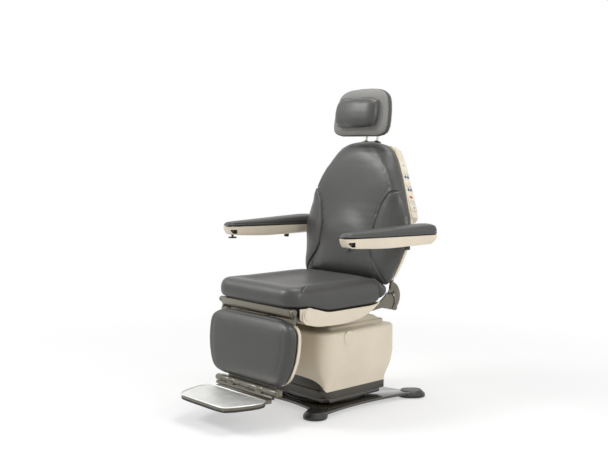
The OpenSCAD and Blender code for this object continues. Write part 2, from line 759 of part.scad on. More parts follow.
// Underside of the shell: heights at shares of its length
shell_shares = [0, 0.0135, 0.0336, 0.1143, 0.2354, 0.4798, 0.6099, 0.7354, 0.8879, 1];
shell_heights = [424, 416, 409, 391, 380, 376, 378, 386, 409, 441];
shell_line = [for (i = [0:len(shell_shares) - 1]) [shell_shares[i], shell_heights[i]]];
flange_end_y = -75;
shell_corner = 30;
shell_rear_corner = 6;
shell_boss_in = 46;
shell_boss_y = shell_boss_in - shell_front;
shell_boss_z = 427;
shell_boss_r = 34;
shell_boss_hub_r = 20;
shell_boss_rise = 1.5;
front_window = 24;
ear_slot = 1;
crank_slot = 18;
crank_slot_in = 66;
crank_slot_y = shell_front - crank_slot_in;
function shell_low(d) = [for (i = [0:shell_steps])
    let (y = mix(-shell_front, shell_rear, i / shell_steps)) [y, curve(shell_line, i / shell_steps) + d]];
module shell_form(d, e) {
    intersection() {
        translate([0, 0, shell_floor_z - over]) linear_extrude(seat_top_z - shell_floor_z)
            slab(shell_x - d, -shell_front + d, shell_rear + e, shell_corner - d, shell_rear_corner);
        plate_x(-shell_x - over, shell_x + over) polygon(concat([for (p = shell_low(d)) [p.x, p.y]],
            d > 0 ? [[shell_rear + 2 * over, seat_top_z], [-shell_front, seat_top_z]]
            : [for (i = [shell_steps:-1:0]) let (y = mix(-shell_front, shell_rear, i / shell_steps))
            [y, rim_z(y)]]));
    }
}
module seat_shell() {
    slot_x = leg_head_x + pin_head_t + ear_slot;
    color(cream) on_swivel() {
        difference() {
            union() {
                shell_form(0, 0);
                both_sides() translate([0, shell_boss_y, shell_boss_z]) {
                    bar_x(shell_x - cover_wall, shell_x + shell_boss_rise, shell_boss_r);
                    bar_x(shell_x - cover_wall, shell_x + 2 * shell_boss_rise, shell_boss_hub_r);
                }
            }
            shell_form(cover_wall, over + cover_wall);
            // Open underside behind the floor, where the pan shows
            block([-rail_out, rail_out], [-pan_front, shell_rear], [shell_floor_z - over, seat_board_z]);
            block([-shell_x + cover_wall, shell_x - cover_wall], [flange_end_y, shell_rear + over],
                [shell_floor_z - over, seat_top_z]);
            // Front window for the rail, slots for the ears and for the crank
            block([-rail_out - ear_slot, rail_out + ear_slot],
                [-shell_front - over, -shell_front + front_window],
                [shell_floor_z, rim_front_z + over]);
            both_sides() block([rail_out - ear_slot, slot_x],
                [-shell_front - over, rim_front_y + ear_slot],
                [shell_floor_z, rim_front_z + over]);
            block([act_x - crank_slot, act_x + crank_slot], [-shell_front - over, -crank_slot_y],
                [shell_floor_z, seat_board_z]);
        }
    }
}
board_x = 222;
board_set_back = 38;
board_front = leg_reach - board_set_back;
module seat_board() {
    color(dark) on_swivel() translate([0, 0, seat_board_z]) linear_extrude(seat_board_t)
        slab(board_x, -board_front, pan_rear, shell_corner, shell_corner);
}

// Seat cushion as rings, each with its inset at the sides, front and rear and its share of the height
base_in = 26;
cushion_insets = [[8, 18, 8], [2, 9, 2], [0, 3, 0], [0, 0, 0], [2, 2, 2], [8, 8, 8], [17, 17, 16],
    [30, 30, 26],
    [43, 43, 37], [48, 48, 41], [53, 53, 45]];
cushion_shares = [0, 0.09, 0.24, 0.42, 0.62, 0.8, 0.92, 0.985, 1, 0.965, 0.99];
// The dish that the rings inside the sewn channel sink into, and where it runs out towards the backrest
dish_insets = [74, 104, 138, 175];
dish_shares = [0.22, 0.62, 0.88, 0.97];
dish_end_y = -60;
dish_end_l = 150;
dish_left_share = 0.25;
function dish_share(y) = 1 - (1 - dish_left_share) * ease((y - dish_end_y) / dish_end_l);
cushion_lift = 2;
cushion_corner = 74;
cushion_rear_corner = 56;
corner_least = 38;
corner_n = 5;
side_n = 9;
function cushion_plan(a, b, c) = slab_outline(seat_x - a, -seat_front + b, seat_rear - c,
    max(cushion_corner - max(a, b), corner_least), max(cushion_rear_corner - a, corner_least), corner_n,
    side_n);

module seat_cushion() {
    base = slab_outline(board_x, -board_front + half * base_in, pan_rear, base_in, base_in, corner_n,
        side_n);
    color(vinyl) on_swivel() loft(concat(
        [[for (p = base) [p.x, p.y, rim_side_z + face_gap]]],
        [[for (p = base) [p.x, p.y, rim_z(p.y) + cushion_lift]]],
        [for (i = [0:len(cushion_insets) - 1]) let (r = cushion_insets[i]) [for (p = cushion_plan(r[0],
        r[1], r[2]))
            [p.x, p.y, mix(rim_z(p.y) + cushion_lift, seat_line(p.y), cushion_shares[i])]]],
        [for (i = [0:len(dish_insets) - 1]) let (r = dish_insets[i]) [for (p = cushion_plan(r, r, r))
            [p.x, p.y, seat_line(p.y) - seat_dish * dish_shares[i] * dish_share(p.y)]]]));
}

// Actuators under the seat board, and the slotted eyes that turn the cranks
leg_swing_angle = 78;
back_swing_angle = 78;
leg_act_rear_in = 268;
leg_act_front_in = 116;
leg_act_rear = leg_reach - leg_act_rear_in;
leg_act_front = leg_reach - leg_act_front_in;
back_act_front = 106;
back_act_rear = 85;
act_seat_x = 16;
act_seat_y = 12;
act_seat_t = 7;
rod_in = 12;
back_rod_in = 96;
eye_x = 7;
eye_rim = 5;
slot_side = 2;
slot_end = 1.1;
leg_crank_y = -leg_reach + crank_r * sin(leg_swing_angle / 2);
leg_eye_z = leg_axis_z - crank_r * (1 + cos(leg_swing_angle / 2)) / 2;
leg_eye_h = crank_r * (1 - cos(leg_swing_angle / 2)) / 2;
tube_r = 12;
back_crank_y = recline_reach + crank_r * sin(crank_back);
back_crank_end_angle = back_swing_angle - crank_back;
back_eye_z = recline_z - crank_r * (1 + cos(back_crank_end_angle)) / 2;
back_eye_h = crank_r * (1 - cos(back_crank_end_angle)) / 2;

module actuator_seat(x, y0, y1) {
    block([x - act_seat_x, x + act_seat_x], [mix(y0, y1, half) - act_seat_y, mix(y0, y1, half)
        + act_seat_y],
        [pan_low_z + pan_t, pan_low_z + pan_t + act_seat_t]);
}
module along_y(x, y0, y1, r) {
    translate([x, y0, act_z]) rotate([-90, 0, 0]) cylinder(h = y1 - y0, r = r);
}
module leg_actuator_body() {
    color(dark) on_swivel() difference() {
        union() {
            along_y(act_x, -leg_act_front, -leg_act_rear, act_r);
            actuator_seat(act_x, -leg_act_front, -leg_act_rear);
        }
        along_y(act_x, -leg_act_front - over, -leg_act_rear - rod_in, act_rod_r + fit_gap);
    }
}
module back_actuator_body() {
    color(dark) on_swivel() difference() {
        union() {
            along_y(-act_x, -back_act_front, back_act_rear, act_r);
            actuator_seat(-act_x, -back_act_front, back_act_rear);
        }
        along_y(-act_x, -back_act_front + rod_in, back_act_rear + over, act_rod_r + fit_gap);
    }
}
module eye(x, y, z, w, h) {
    translate([0, y, z]) difference() {
        plate_x(x - eye_x, x + eye_x) translate([-w - eye_rim, -h - eye_rim])
            square([2 * (w + eye_rim), 2 * (h + eye_rim)]);
        plate_x(x - eye_x - over, x + eye_x + over) translate([-w, -h]) square([2 * w, 2 * h]);
    }
}
module leg_actuator_rod() {
    w = leg_pin_r + slot_side;
    color(bright) on_swivel() {
        eye(act_x, leg_crank_y, leg_eye_z, w, leg_eye_h + leg_pin_r + slot_end);
        along_y(act_x, leg_crank_y + w + eye_rim * half, -leg_act_rear - 2 * rod_in, act_rod_r);
    }
}
module back_actuator_rod() {
    w = tube_r + slot_side;
    color(bright) on_swivel() {
        eye(-act_x, back_crank_y, back_eye_z, w, back_eye_h + tube_r + slot_end);
        along_y(-act_x, back_act_rear - back_rod_in, back_crank_y - w - eye_rim * half, act_rod_r);
    }
}

// Leg rest, seen from its axis: z runs down its slope and y runs back through it

leg_base = 2;
leg_plate_t = 6;
leg_plate_x = 150;
leg_plate_top = 34;
leg_plate_low = 330;
leg_cross_h = 28;
leg_ear_rise = 3;
lug_t = 6;
lug_gap = 3;
lug_r = 10;
lug_low = 95;
hinge_block_h = 22;
sleeve_x = [111, 190];
sleeve_mid_x = 71;
foot_pin_r = 8;
crank_at = [0, crank_r * sin(leg_swing_angle / 2 + leg_tilt),
    -crank_r * cos(leg_swing_angle / 2 + leg_tilt)];

module leg_lug(x0, x1) {
    plate_x(x0, x1) union() {
        polygon([[leg_base, -leg_plate_top], [crank_at.y, crank_at.z + lug_r],
            [crank_at.y + lug_r, crank_at.z],
            [crank_at.y, crank_at.z - lug_r], [leg_base, -lug_low]]);
        translate([crank_at.y, crank_at.z]) circle(r = lug_r);
    }
}
module hinge_sleeve(x0, x1) {
    translate([0, -foot_hinge_out, -foot_hinge_drop]) difference() {
        union() {
            bar_x(x0, x1, knuckle_r);
            block([x0, x1], [0, foot_hinge_out + leg_base + leg_plate_t],
                [-hinge_block_h / 2, hinge_block_h / 2]);
        }
        bar_x(x0 - over, x1 + over, foot_pin_r + fit_gap);
    }
}
module leg_frame() {
    plate_y1 = leg_base + leg_plate_t;
    color(bronze) on_leg() {
        block([-leg_plate_x, leg_plate_x], [leg_base, plate_y1], [-leg_plate_low, -leg_plate_top]);
        block([-leg_head_x + face_gap, leg_head_x - face_gap], [leg_base, plate_y1],
            [-leg_plate_top - leg_cross_h, -leg_plate_top]);
        block([-sleeve_x[1], sleeve_x[1]], [leg_base, plate_y1],
            [-leg_plate_low, -foot_hinge_drop + hinge_block_h / 2]);
        both_sides() difference() {
            plate_x(leg_ear_x, leg_ear_x + ear_t) union() {
                circle(r = ear_boss_r);
                translate([leg_base + leg_ear_rise, -leg_plate_top - leg_cross_h])
                    square([ear_boss_r - leg_base - leg_ear_rise, leg_plate_top + leg_cross_h]);
            }
            bar_x(leg_ear_x - over, leg_ear_x + ear_t + over, leg_pin_r + fit_gap);
        }
        for (s = [1, -1]) let (x = act_x + s * (eye_x + lug_gap + lug_t / 2)) leg_lug(x - lug_t / 2, x
            + lug_t / 2);
        translate(crank_at) bar_x(act_x - eye_x - lug_gap - lug_t, act_x + eye_x + lug_gap + lug_t,
            leg_pin_r);
        both_sides() hinge_sleeve(sleeve_x[0], sleeve_x[1]);
        hinge_sleeve(-sleeve_mid_x, sleeve_mid_x);
    }
}
// Half widths of the leg pad by the distance below its axis
leg_widths = [[-302, 165], [-295, 198], [-275, 227], [-230, 251], [-180, 266], [-110, 270], [-70, 262],
    [-50, 240],
    [-38, 208], [-28, 150]];
leg_depths = [[-302, 17], [-298, 25], [-288, 35], [-270, 42], [-220, 45], [-100, 45], [-70, 42],
    [-50, 35], [-38, 25],
    [-28, 12]];
leg_rows = [-302, -299, -295, -288, -278, -262, -240, -205, -165, -125, -95, -74, -60, -50, -42, -35,
    -30, -28];
leg_top_z = leg_widths[len(leg_widths) - 1][0];
leg_mid_z = (leg_top_z + leg_widths[0][0]) / 2;
leg_pad_wide = 8;
leg_crown = 1;
leg_channel = 3;
leg_tuck = 10;
leg_seam_share = 0.86;
leg_seam_in = 0.7;

module leg_pad() {
    color(vinyl) on_leg() loft([for (z = leg_rows) let (w = curve(leg_widths, z),
        d = curve(leg_depths, z))
        row_xy(pad_section(w, leg_seam_share * w, leg_base, -min(leg_pad_wide, leg_seam_in * d), -d,
        leg_crown,
        leg_channel * ease(d / leg_pad_t * 2 - 1), leg_tuck * d / leg_pad_t), z)]);
}
leg_shell_wall = 3.5;
leg_shell_steps = [[0, 22], [3, 14], [9, 6], [27, 2]];
leg_shell_rows = [-302, -299, -295, -288, -276, -258, -230, -190, -150, -110, -80, -60, -50, -42, -36,
    -31, -28];
function leg_plan(d) = shrunk(width_outline(leg_widths, leg_shell_rows), [0, leg_mid_z],
    [1 - d / leg_pad_x, 1 - 2 * d / leg_pad_h]);
module leg_shell() {
    ear_x1 = leg_head_x + ear_slot;
    crank_x = eye_x + lug_gap + lug_t + ear_slot;
    plate_y1 = leg_base + leg_plate_t + face_gap;
    color(cream) on_leg() difference() {
        loft([for (s = leg_shell_steps) ring_xz(leg_plan(s[1]), leg_base + leg_shell_t - s[0])]);
        loft([for (s = leg_shell_steps) ring_xz(leg_plan(s[1] + leg_shell_wall),
            leg_base + leg_shell_t - leg_shell_wall - s[0])]);
        both_sides() block([leg_ear_x - ear_slot, ear_x1], [0, ear_boss_r + ear_slot],
            [-leg_plate_top - leg_cross_h - ear_slot, 0]);
        block([-ear_x1, ear_x1], [0, plate_y1], [-leg_plate_top - leg_cross_h - face_gap, 0]);
        block([-sleeve_x[1], sleeve_x[1]], [0, plate_y1], [-leg_plate_low, -leg_pad_h]);
        block([act_x - crank_x, act_x + crank_x], [plate_y1, leg_shell_t + over + leg_base],
            [-lug_low, 0]);
    }
}
pin_cap_r = 12;
pin_cap_t = 4;
module foot_hinge_pin() {
    color(bright) on_leg() translate([0, -foot_hinge_out, -foot_hinge_drop]) {
        bar_x(-foot_hinge_x, foot_hinge_x, foot_pin_r);
        both_sides() bar_x(foot_hinge_x - half * face_gap, foot_hinge_x + pin_cap_t, pin_cap_r);
    }
}

// Footrest, seen from its hinge

foot_knuckle_x = [71.5, 110.5];
foot_bar = [0, -13, -17.5];
foot_bar_r = 7;
foot_bar_x = 179;
foot_plate_t = 14;
tread_t = 3;
foot_rubber_t = 5;
foot_rubber_in = 5;
foot_frame_in = 3;
foot_table = [[-233, 60], [-229, 100], [-220, 128], [-202, 150], [-176, 165], [-148, 182], [-100, 206],
    [-75, 206],
    [-52, 190], [-40, 172]];
foot_rows = [-233, -231, -229, -225, -220, -211, -202, -189, -176, -162, -148, -124, -100, -88, -75, -63,
    -52, -46, -40];
foot_mid_y = -136;
module foot_plan(d, k = 1) {
    polygon(shrunk(width_outline(foot_table, foot_rows), [0, foot_mid_y],
        [1 - d / tread_x, 1 - d / -foot_mid_y]));
}
module foot_frame() {
    plate_z = -tread_drop - tread_t - foot_plate_t;
    color(bronze) on_foot() {
        both_sides() difference() {
            union() {
                bar_x(foot_knuckle_x[0], foot_knuckle_x[1], knuckle_r);
                plate_x(foot_knuckle_x[0], foot_knuckle_x[1]) polygon([[-knuckle_r, 0],
                    [foot_bar.y - foot_bar_r, foot_bar.z],
                    [foot_bar.y, foot_bar.z - foot_bar_r], [0, -knuckle_r], [knuckle_r * half, 0]]);
            }
            bar_x(foot_knuckle_x[0] - over, foot_knuckle_x[1] + over, foot_pin_r + fit_gap);
        }
        translate(foot_bar) bar_x(-foot_bar_x, foot_bar_x, foot_bar_r);
        translate([0, 0, plate_z]) linear_extrude(foot_plate_t) foot_plan(foot_frame_in);
        block([-foot_bar_x + foot_bar_r, foot_bar_x - foot_bar_r],
            [foot_table[len(foot_table) - 1][0] - foot_bar_r, foot_bar.y],
            [plate_z, plate_z + foot_plate_t]);
    }
}
module foot_tread() {
    color(bright) on_foot() translate([0, 0, -tread_drop - tread_t]) linear_extrude(tread_t) foot_plan(0);
}
module foot_rubber() {
    color(dark) on_foot() translate([0, 0, -tread_drop - tread_t - foot_plate_t - foot_rubber_t])
        linear_extrude(foot_rubber_t) foot_plan(foot_rubber_in);
}

// Backrest, seen from the recline axis: z runs up its slope and y runs back through it

crescent_in_r = 34;
crescent_out_r = 66;
crescent_hub_r = 18;
spoke_h = 18;
spoke_turn = 18;
tongue_y = [2, 12];
tongue_z = [56, 110];
tube_turn = crank_back + back_tilt;
sector_n = 20;
quarter_turn = 90;

module sector(r0, r1, a0, a1) {
    polygon(concat(arc([0, 0], r1, a0, a1, sector_n), reversed(arc([0, 0], r0, a0, a1, sector_n))));
}
module back_crescents() {
    a0 = tube_turn - quarter_turn;
    hub_turn = (a0 + quarter_turn) / 2;
    color(bronze) on_back() both_sides() difference() {
        plate_x(crescent_x, crescent_x + crescent_t) union() {
            sector(crescent_in_r, crescent_out_r, a0, quarter_turn);
            rotate(a0) translate([crank_r, 0]) circle(r = tube_r);
            circle(r = crescent_hub_r);
            for (a = [a0 + spoke_turn, hub_turn, quarter_turn - spoke_turn]) rotate(a) translate([0,
                -spoke_h / 2])
                square([crescent_in_r + over, spoke_h]);
            translate([tongue_y[0], tongue_z[0]]) square([tongue_y[1] - tongue_y[0],
                tongue_z[1] - tongue_z[0]]);
        }
        bar_x(crescent_x - over, crescent_x + crescent_t + over, recline_pin_r + fit_gap);
    }
}
module back_cross_tube() {
    color(bronze) on_back() rotate([tube_turn, 0, 0]) translate([0, 0, -crank_r]) bar_x(-crescent_x,
        crescent_x, tube_r);
}
back_widths = [[60, 215], [66, 241], [110, 268], [179, 293], [264, 315], [344, 302], [390, 281],
    [461, 252], [555, 207],
    [625, 160], [655, 104], [668, 20]];
back_depths = [[60, 40], [64, 51], [76, 64], [96, 73], [125, 78], [400, 78], [590, 77], [630, 70],
    [652, 58], [664, 40],
    [668, 26]];
back_seams = [[60, 160], [84, 190], [110, 192], [170, 170], [278, 160], [380, 180], [450, 236],
    [500, 216], [668, 12]];
back_rows = [60, 62, 66, 74, 88, 106, 130, 158, 188, 220, 252, 284, 316, 348, 382, 418, 456, 496, 536,
    576, 608, 632, 648,
    658, 665, 668];
back_wide = 21;
back_crown = 6;
lumbar_z = 235;
lumbar_h = 95;
back_channel = 4;
back_tuck = 8;
module back_cushion() {
    color(vinyl) on_back() loft([for (z = back_rows) let (w = curve(back_widths, z),
        d = curve(back_depths, z),
        bump = back_crown * ease(d / back_face * 2 - 1)
        + lumbar_rise * exp(-((z - lumbar_z) / lumbar_h) ^ 2))
        row_xy(pad_section(w, min(curve(back_seams, z), leg_seam_share * w), -back_base,
        -min(back_wide, d * half), -d,
        bump, back_channel * ease(d / back_face * 2 - 1), back_tuck * d / back_face), z)]);
}
back_plan_rows = [60, 62, 64, 66, 72, 84, 106, 140, 180, 220, 264, 304, 344, 390, 430, 461, 508, 555,
    592, 625, 642, 655,
    663, 668];
back_mid_z = (back_low + back_top) / 2;
function back_plan(d) = shrunk(width_outline(back_widths, back_plan_rows), [0, back_mid_z],
    [1 - d / back_x, 1 - 2 * d / (back_top - back_low)]);
board_in = 14;
board_y = [-9.7, 1.7];
guide_x = 50;
guide_y = [-9.5, 7.5];
guide_z = [556, 668];
module back_board() {
    color(dark) on_back() difference() {
        plate_y(board_y[0], board_y[1]) polygon(back_plan(board_in));
        block([-guide_x - face_gap, guide_x + face_gap], [board_y[0] - over, board_y[1] + over],
            [guide_z[0] - face_gap, guide_z[1] + over]);
    }
}
// Rear cover: a low tray round the board, and a deeper housing over the headrest's guide
tray_steps = [[14, 16], [10, 9], [2, 6], [board_y[0], 4]];
panel_foot = [300, 345];
panel_head = [166, 612];
housing_outline = [[285, 322], [294, 332], panel_foot, panel_head, [150, 632], [120, 648]];
housing_steps = [[0, 20], [2, 10], [6, 2], [10, 0], [housing_depth, 0]];
housing_mid = [0, 485];
panel_turn = atan2(panel_foot.x - panel_head.x, panel_head.y - panel_foot.y);
panel_back = [1, 41];
panel_t = 2.4;
panel_l = [31, 267];
notch_l = 300;
notch_low = 30;
tongue_gap = 0.3;

function housing_plan(d) = shrunk(concat(housing_outline, mirrored(reversed(housing_outline))),
    housing_mid,
    [1 - d / housing_outline[2].x, 1 - d / (housing_mid.y - housing_outline[0].y)]);
module on_panel() {
    translate([panel_foot.x, 0, panel_foot.y]) rotate([0, -panel_turn, 0]) children();
}
module back_shell() {
    color(cream) on_back() difference() {
        union() {
            loft([for (s = tray_steps) ring_xz(back_plan(s[1]), s[0])]);
            loft([for (s = housing_steps) ring_xz(housing_plan(s[1]), housing_depth - s[0])]);
        }
        plate_y(board_y[0] - over, board_y[1]) polygon(back_plan(board_in - face_gap));
        block([-guide_x, guide_x], [board_y[0] - over, guide_y[1]], [guide_z[0], guide_z[1] + over]);
        both_sides() block([crescent_x - tongue_gap, crescent_x + crescent_t + tongue_gap],
            [board_y[0] - over, tongue_y[1] + tongue_gap], [back_low - over, tongue_z[1] + tongue_gap]);
        both_sides() on_panel() block([0, notch_l], [panel_back[0] - face_gap, housing_depth + over],
            [-notch_low, notch_l]);
    }
}
bracket_x = [170, 322.4];
bracket_t = 10;
bracket_y0 = 14;
bracket_z = [247, 275];
arm_at_y = 12;
arm_at_z = 261.5;
arm_boss_r = 13;
arm_boss_l = 9.4;
arm_pin_end = 352;
module arm_brackets() {
    color(steel) on_back() both_sides() {
        block(bracket_x, [bracket_y0, bracket_y0 + bracket_t], bracket_z);
        translate([0, arm_at_y, arm_at_z]) {
            bar_x(bracket_x[1] - arm_boss_l, bracket_x[1], arm_boss_r);
            bar_x(bracket_x[1] - arm_boss_l, arm_pin_end, arm_pin_r);
        }
    }
}

// Keys on the panel as seen from it: rear place and place along it
key_r = 5.7;
key_hole_r = 6;
key_foot = 0.8;
key_rise = 1.4;
key_rows = [14, 30];
key_back_l = 191;
key_seat_l = 130;
key_stop_l = 95;
key_stop_y = 22;
module panel_overlay() {
    color(dark) on_back() on_panel() difference() {
        block([0, panel_t], panel_back, panel_l);
        for (p = [[key_rows[0], key_back_l], [key_rows[1], key_back_l], [key_rows[0], key_seat_l],
            [key_rows[1], key_seat_l], [key_stop_y, key_stop_l]])
            translate([0, p.x, p.y]) bar_x(-over, panel_t + over, key_hole_r);
    }
}
module key(y, l) {
    on_back() on_panel() translate([0, y, l]) bar_x(key_foot, panel_t + key_rise, key_r);
}
module key_back_up() {
    color(steel) key(key_rows[0], key_back_l);
}
module key_back_down() {
    color(steel) key(key_rows[1], key_back_l);
}
module key_seat_up() {
    color(steel) key(key_rows[0], key_seat_l);
}
module key_seat_down() {
    color(steel) key(key_rows[1], key_seat_l);
}
module key_stop() {
    color(red) key(key_stop_y, key_stop_l);
}

// Headrest

post_y = -1;
post_z = [562, 737];
crossbar_x = 40;
crossbar_y = [-10, 8];
crossbar_z = [735, 751];
head_hinge = [0, -40, 743];
head_ear_x = [12, 20];
head_ear_z = [728, 758];
head_ear_out = 10;
head_pin_r = 5;
head_pin_x = [-22, 43];
tongue_r = 12;
tongue_x = 11.5;
knob_r = 15;
knob_x = [24, 44];
knob_ribs = 6;
head_shell_y = [-67.7, -58];

module headrest_guide() {
    color(dark) on_back() difference() {
        block([-guide_x, guide_x], guide_y, guide_z);
        both_sides() translate([post_x, post_y, post_z[0] - face_gap]) cylinder(h = guide_z[1],
            r = post_r + fit_gap);
    }
}
module headrest_posts() {
    color(bright) on_back() {
        both_sides() translate([post_x, post_y, post_z[0]]) cylinder(h = post_z[1] - post_z[0],
            r = post_r);
        block([-crossbar_x, crossbar_x], crossbar_y, crossbar_z);
        both_sides() block(head_ear_x, [head_hinge.y - head_ear_out, crossbar_y[0]], head_ear_z);
        translate(head_hinge) bar_x(head_pin_x[0], head_pin_x[1], head_pin_r);
    }
}
module headrest_knob() {
    color(dark) on_back() translate(head_hinge) difference() {
        bar_x(knob_x[0], knob_x[1], knob_r);
        bar_x(knob_x[0] - over, head_pin_x[1] + face_gap, head_pin_r + fit_gap);
        for (i = [0:knob_ribs - 1]) rotate([i * 360 / knob_ribs, 0, 0]) translate([0, knob_r
            + head_pin_r * half, 0])
            bar_x(knob_x[0] - over, knob_x[1] + over, head_pin_r);
    }
}
head_widths = [[674, 110], [682, 145], [692, 160], [723, 169], [760, 168], [805, 163], [850, 150],
    [870, 131],
    [883, 103], [889, 72], [892, 34]];
head_depths = [[674, 12], [678, 20], [688, 30], [705, 35.5], [740, 37.4], [850, 36.5], [874, 30],
    [886, 20],
    [892, 10]];
head_rows = [674, 677, 682, 690, 702, 720, 745, 775, 805, 830, 850, 866, 877, 885, 890, 892];
head_mid_z = head_low + head_h / 2;
head_base_y = head_pad_t - head_face;
head_in = 9;
function head_plan(d) = shrunk(width_outline(head_widths, head_rows), [0, head_mid_z],
    [1 - d / head_x, 1 - 2 * d / head_h]);
module headrest_shell() {
    color(cream) on_back() {
        loft([ring_xz(head_plan(2 * head_in), head_shell_y[1]),
            ring_xz(head_plan(head_in), head_shell_y[1] - over),
            ring_xz(head_plan(head_in / 2), head_shell_y[0])]);
        difference() {
            union() {
                translate(head_hinge) bar_x(-tongue_x, tongue_x, tongue_r);
                block([-tongue_x, tongue_x], [head_shell_y[1] - over, head_hinge.y],
                    [head_hinge.z - tongue_r, head_hinge.z + tongue_r]);
            }
            translate(head_hinge) bar_x(-tongue_x - over, tongue_x + over, head_pin_r + fit_gap);
        }
    }
}
head_crown = 4;
head_seam_share = 0.85;
head_wide = 8;
head_tuck = 4;
head_channel = 2.5;
module headrest_pad() {
    color(vinyl) on_back() loft([for (z = head_rows) let (w = curve(head_widths, z),
        d = curve(head_depths, z))
        row_xy([for (p = pad_section(w, head_seam_share * w, 0, -min(head_wide, d * half), -d
        + head_crown,
        head_crown * ease(d / head_pad_t), head_channel * ease(d / head_pad_t * 2 - 1),
        head_tuck * d / head_pad_t))
        [p.x, p.y + head_base_y]], z)]);
}
pillow_low = 705;
pillow_turns = [0, 14, 30, 50, 70, 90, 110, 130, 150, 166, 180];
pillow_power = 0.62;
pillow_round = 0.6;
pillow_core = 0.06;
pillow_lip = 4;
pillow_full_share = 0.86;
pillow_seam_share = 0.5;
pillow_wide_share = 0.3;
pillow_front_share = 0.9;
pillow_crown_share = 0.1;
function rounded_power(t, k) = sign(t) * abs(t) ^ k;
module headrest_pillow() {
    cy = -head_face;
    color(vinyl) on_back() loft([for (a = pillow_turns) let (s = max(pillow_core,
        rounded_power(sin(a), pillow_power)),
        z = pillow_low + pillow_h * (1 - rounded_power(cos(a), pillow_round)) / 2)
        row_xy([for (p = pad_section(pillow_w / 2 * mix(s, 1, pillow_full_share),
        pillow_w / 2 * pillow_seam_share * s, 0,
        -pillow_t * pillow_wide_share * s, -pillow_t * pillow_front_share * s,
        pillow_t * pillow_crown_share * s, 0,
        pillow_lip * s)) [p.x, p.y + cy]], z)]);
}

// Armrests, seen from their pivot

arm_pivot_y = recline_reach + arm_at_y * cos(back_tilt) + arm_at_z * sin(back_tilt);
arm_pivot_z = recline_z + arm_at_z * cos(back_tilt) - arm_at_y * sin(back_tilt);
arm_line_front = 29;
arm_line_rear = 16;
arm_widths = [[-478, 8], [-472, 18], [-462, 25], [-446, 29], [-400, 34], [-250, 42], [-60, 45], [20, 45],
    [36, 42],
    [43, 35], [46, 26]];
arm_heights = [[-478, 6], [-470, 13], [-455, 18], [-420, 22], [-250, 32], [-100, 41], [0, 46], [26, 45],
    [38, 38],
    [44, 28], [46, 20]];
arm_pad_rows = [-478, -475, -470, -462, -450, -430, -395, -340, -270, -200, -130, -60, -10, 18, 32, 40,
    44, 46];
arm_shell_wall = 3.5;
arm_shell_low = [[-474, 22], [-452, 12.5], [-430, 4], [-413, -2], [-380, -8], [-320, -16], [-240, -21],
    [0, -21],
    [20, -14], [34, 0], [42, 10]];
arm_shell_rows = [-474, -452, -430, -413, -380, -330, -280, -240, -120, 0, 12, 24, 34, 42];
arm_window_y = [-449, -413.5];
arm_window_z = [8, 22];
arm_shell_n = len(arm_shell_rows) - 1;
arm_shell_in = 1;
arm_shell_round = 12;
arm_hub_x = [-34, -16];
arm_hub_r = 14;
arm_bar_x = 12;
arm_bar_h = 10;
arm_bar_z = 7;
arm_block_y = [-446, -414];
arm_block_x = 15;
arm_block_z = 14.6;
arm_neck = 24;
arm_seam_share = 0.72;
arm_tuck = 2;
arm_wide_share = 0.25;
arm_front_share = 0.93;
arm_crown_share = 0.07;
tray_round_share = 0.3;
release_at = -431;
release_stem_r = 5;
release_r = 17;
release_z = [-9.5, -3.5];
release_top = 19;
release_travel = 6;
lock_at = [8, -111];
lock_r = 11.5;
lock_z = [-38.5, -22.5];
lock_stem_r = 4;
lock_top = -8;

function arm_line(y) = mix(arm_line_front, arm_line_rear, (y + arm_front) / (arm_front + arm_rear));
module on_arm(side) {
    translate([side * arm_x, swivel_y + arm_pivot_y, arm_pivot_z]) mirror([side > 0 ? 0 : 1, 0,
        0]) children();
}
module arm_pad(side) {
    color(vinyl) on_arm(side) loft([for (y = arm_pad_rows) let (w = curve(arm_widths, y),
        h = curve(arm_heights, y))
        [for (p = pad_section(w, arm_seam_share * w, 0, -h * arm_wide_share, -h * arm_front_share,
            h * arm_crown_share, 0, arm_tuck))
            [p.x, y, arm_line(y) + face_gap - p.y]]]);
}
function arm_tray(y, d) = let (w = curve(arm_widths, y) - arm_shell_in - d,
    low = curve(arm_shell_low, y) + d,
    top = arm_line(y) + (d > 0 ? over : 0), r = min(arm_shell_round, (top - low) * half),
    s = r * tray_round_share, side = [[w - r, low], [w - s, low + s], [w, low + r], [w, top]])
    [for (p = concat(mirrored(reversed(side)), side)) [-p.x, y, p.y]];
module arm_shell(side) {
    color(cream) on_arm(side) difference() {
        loft([for (y = arm_shell_rows) arm_tray(y, 0)]);
        loft([for (i = [0:arm_shell_n]) let (y = arm_shell_rows[i])
            arm_tray(y + (i == 0 ? arm_shell_wall : i == arm_shell_n ? -arm_shell_wall : 0),
            arm_shell_wall)]);
        block([-arm_half, arm_half], arm_window_y, arm_window_z);
        bar_x(-arm_half - over, arm_hub_x[0] - face_gap, arm_pin_r + ear_slot);
        translate([lock_at.x, lock_at.y, lock_z[0]]) cylinder(h = -lock_z[0], r = lock_stem_r + fit_gap);
        translate([0, release_at, release_z[0]]) {
            cylinder(h = arm_block_z - release_z[0], r = release_stem_r + fit_gap);
            cylinder(h = release_z[1] - release_z[0] + release_travel + ear_slot, r = release_r + ear_slot);
        }
    }
}
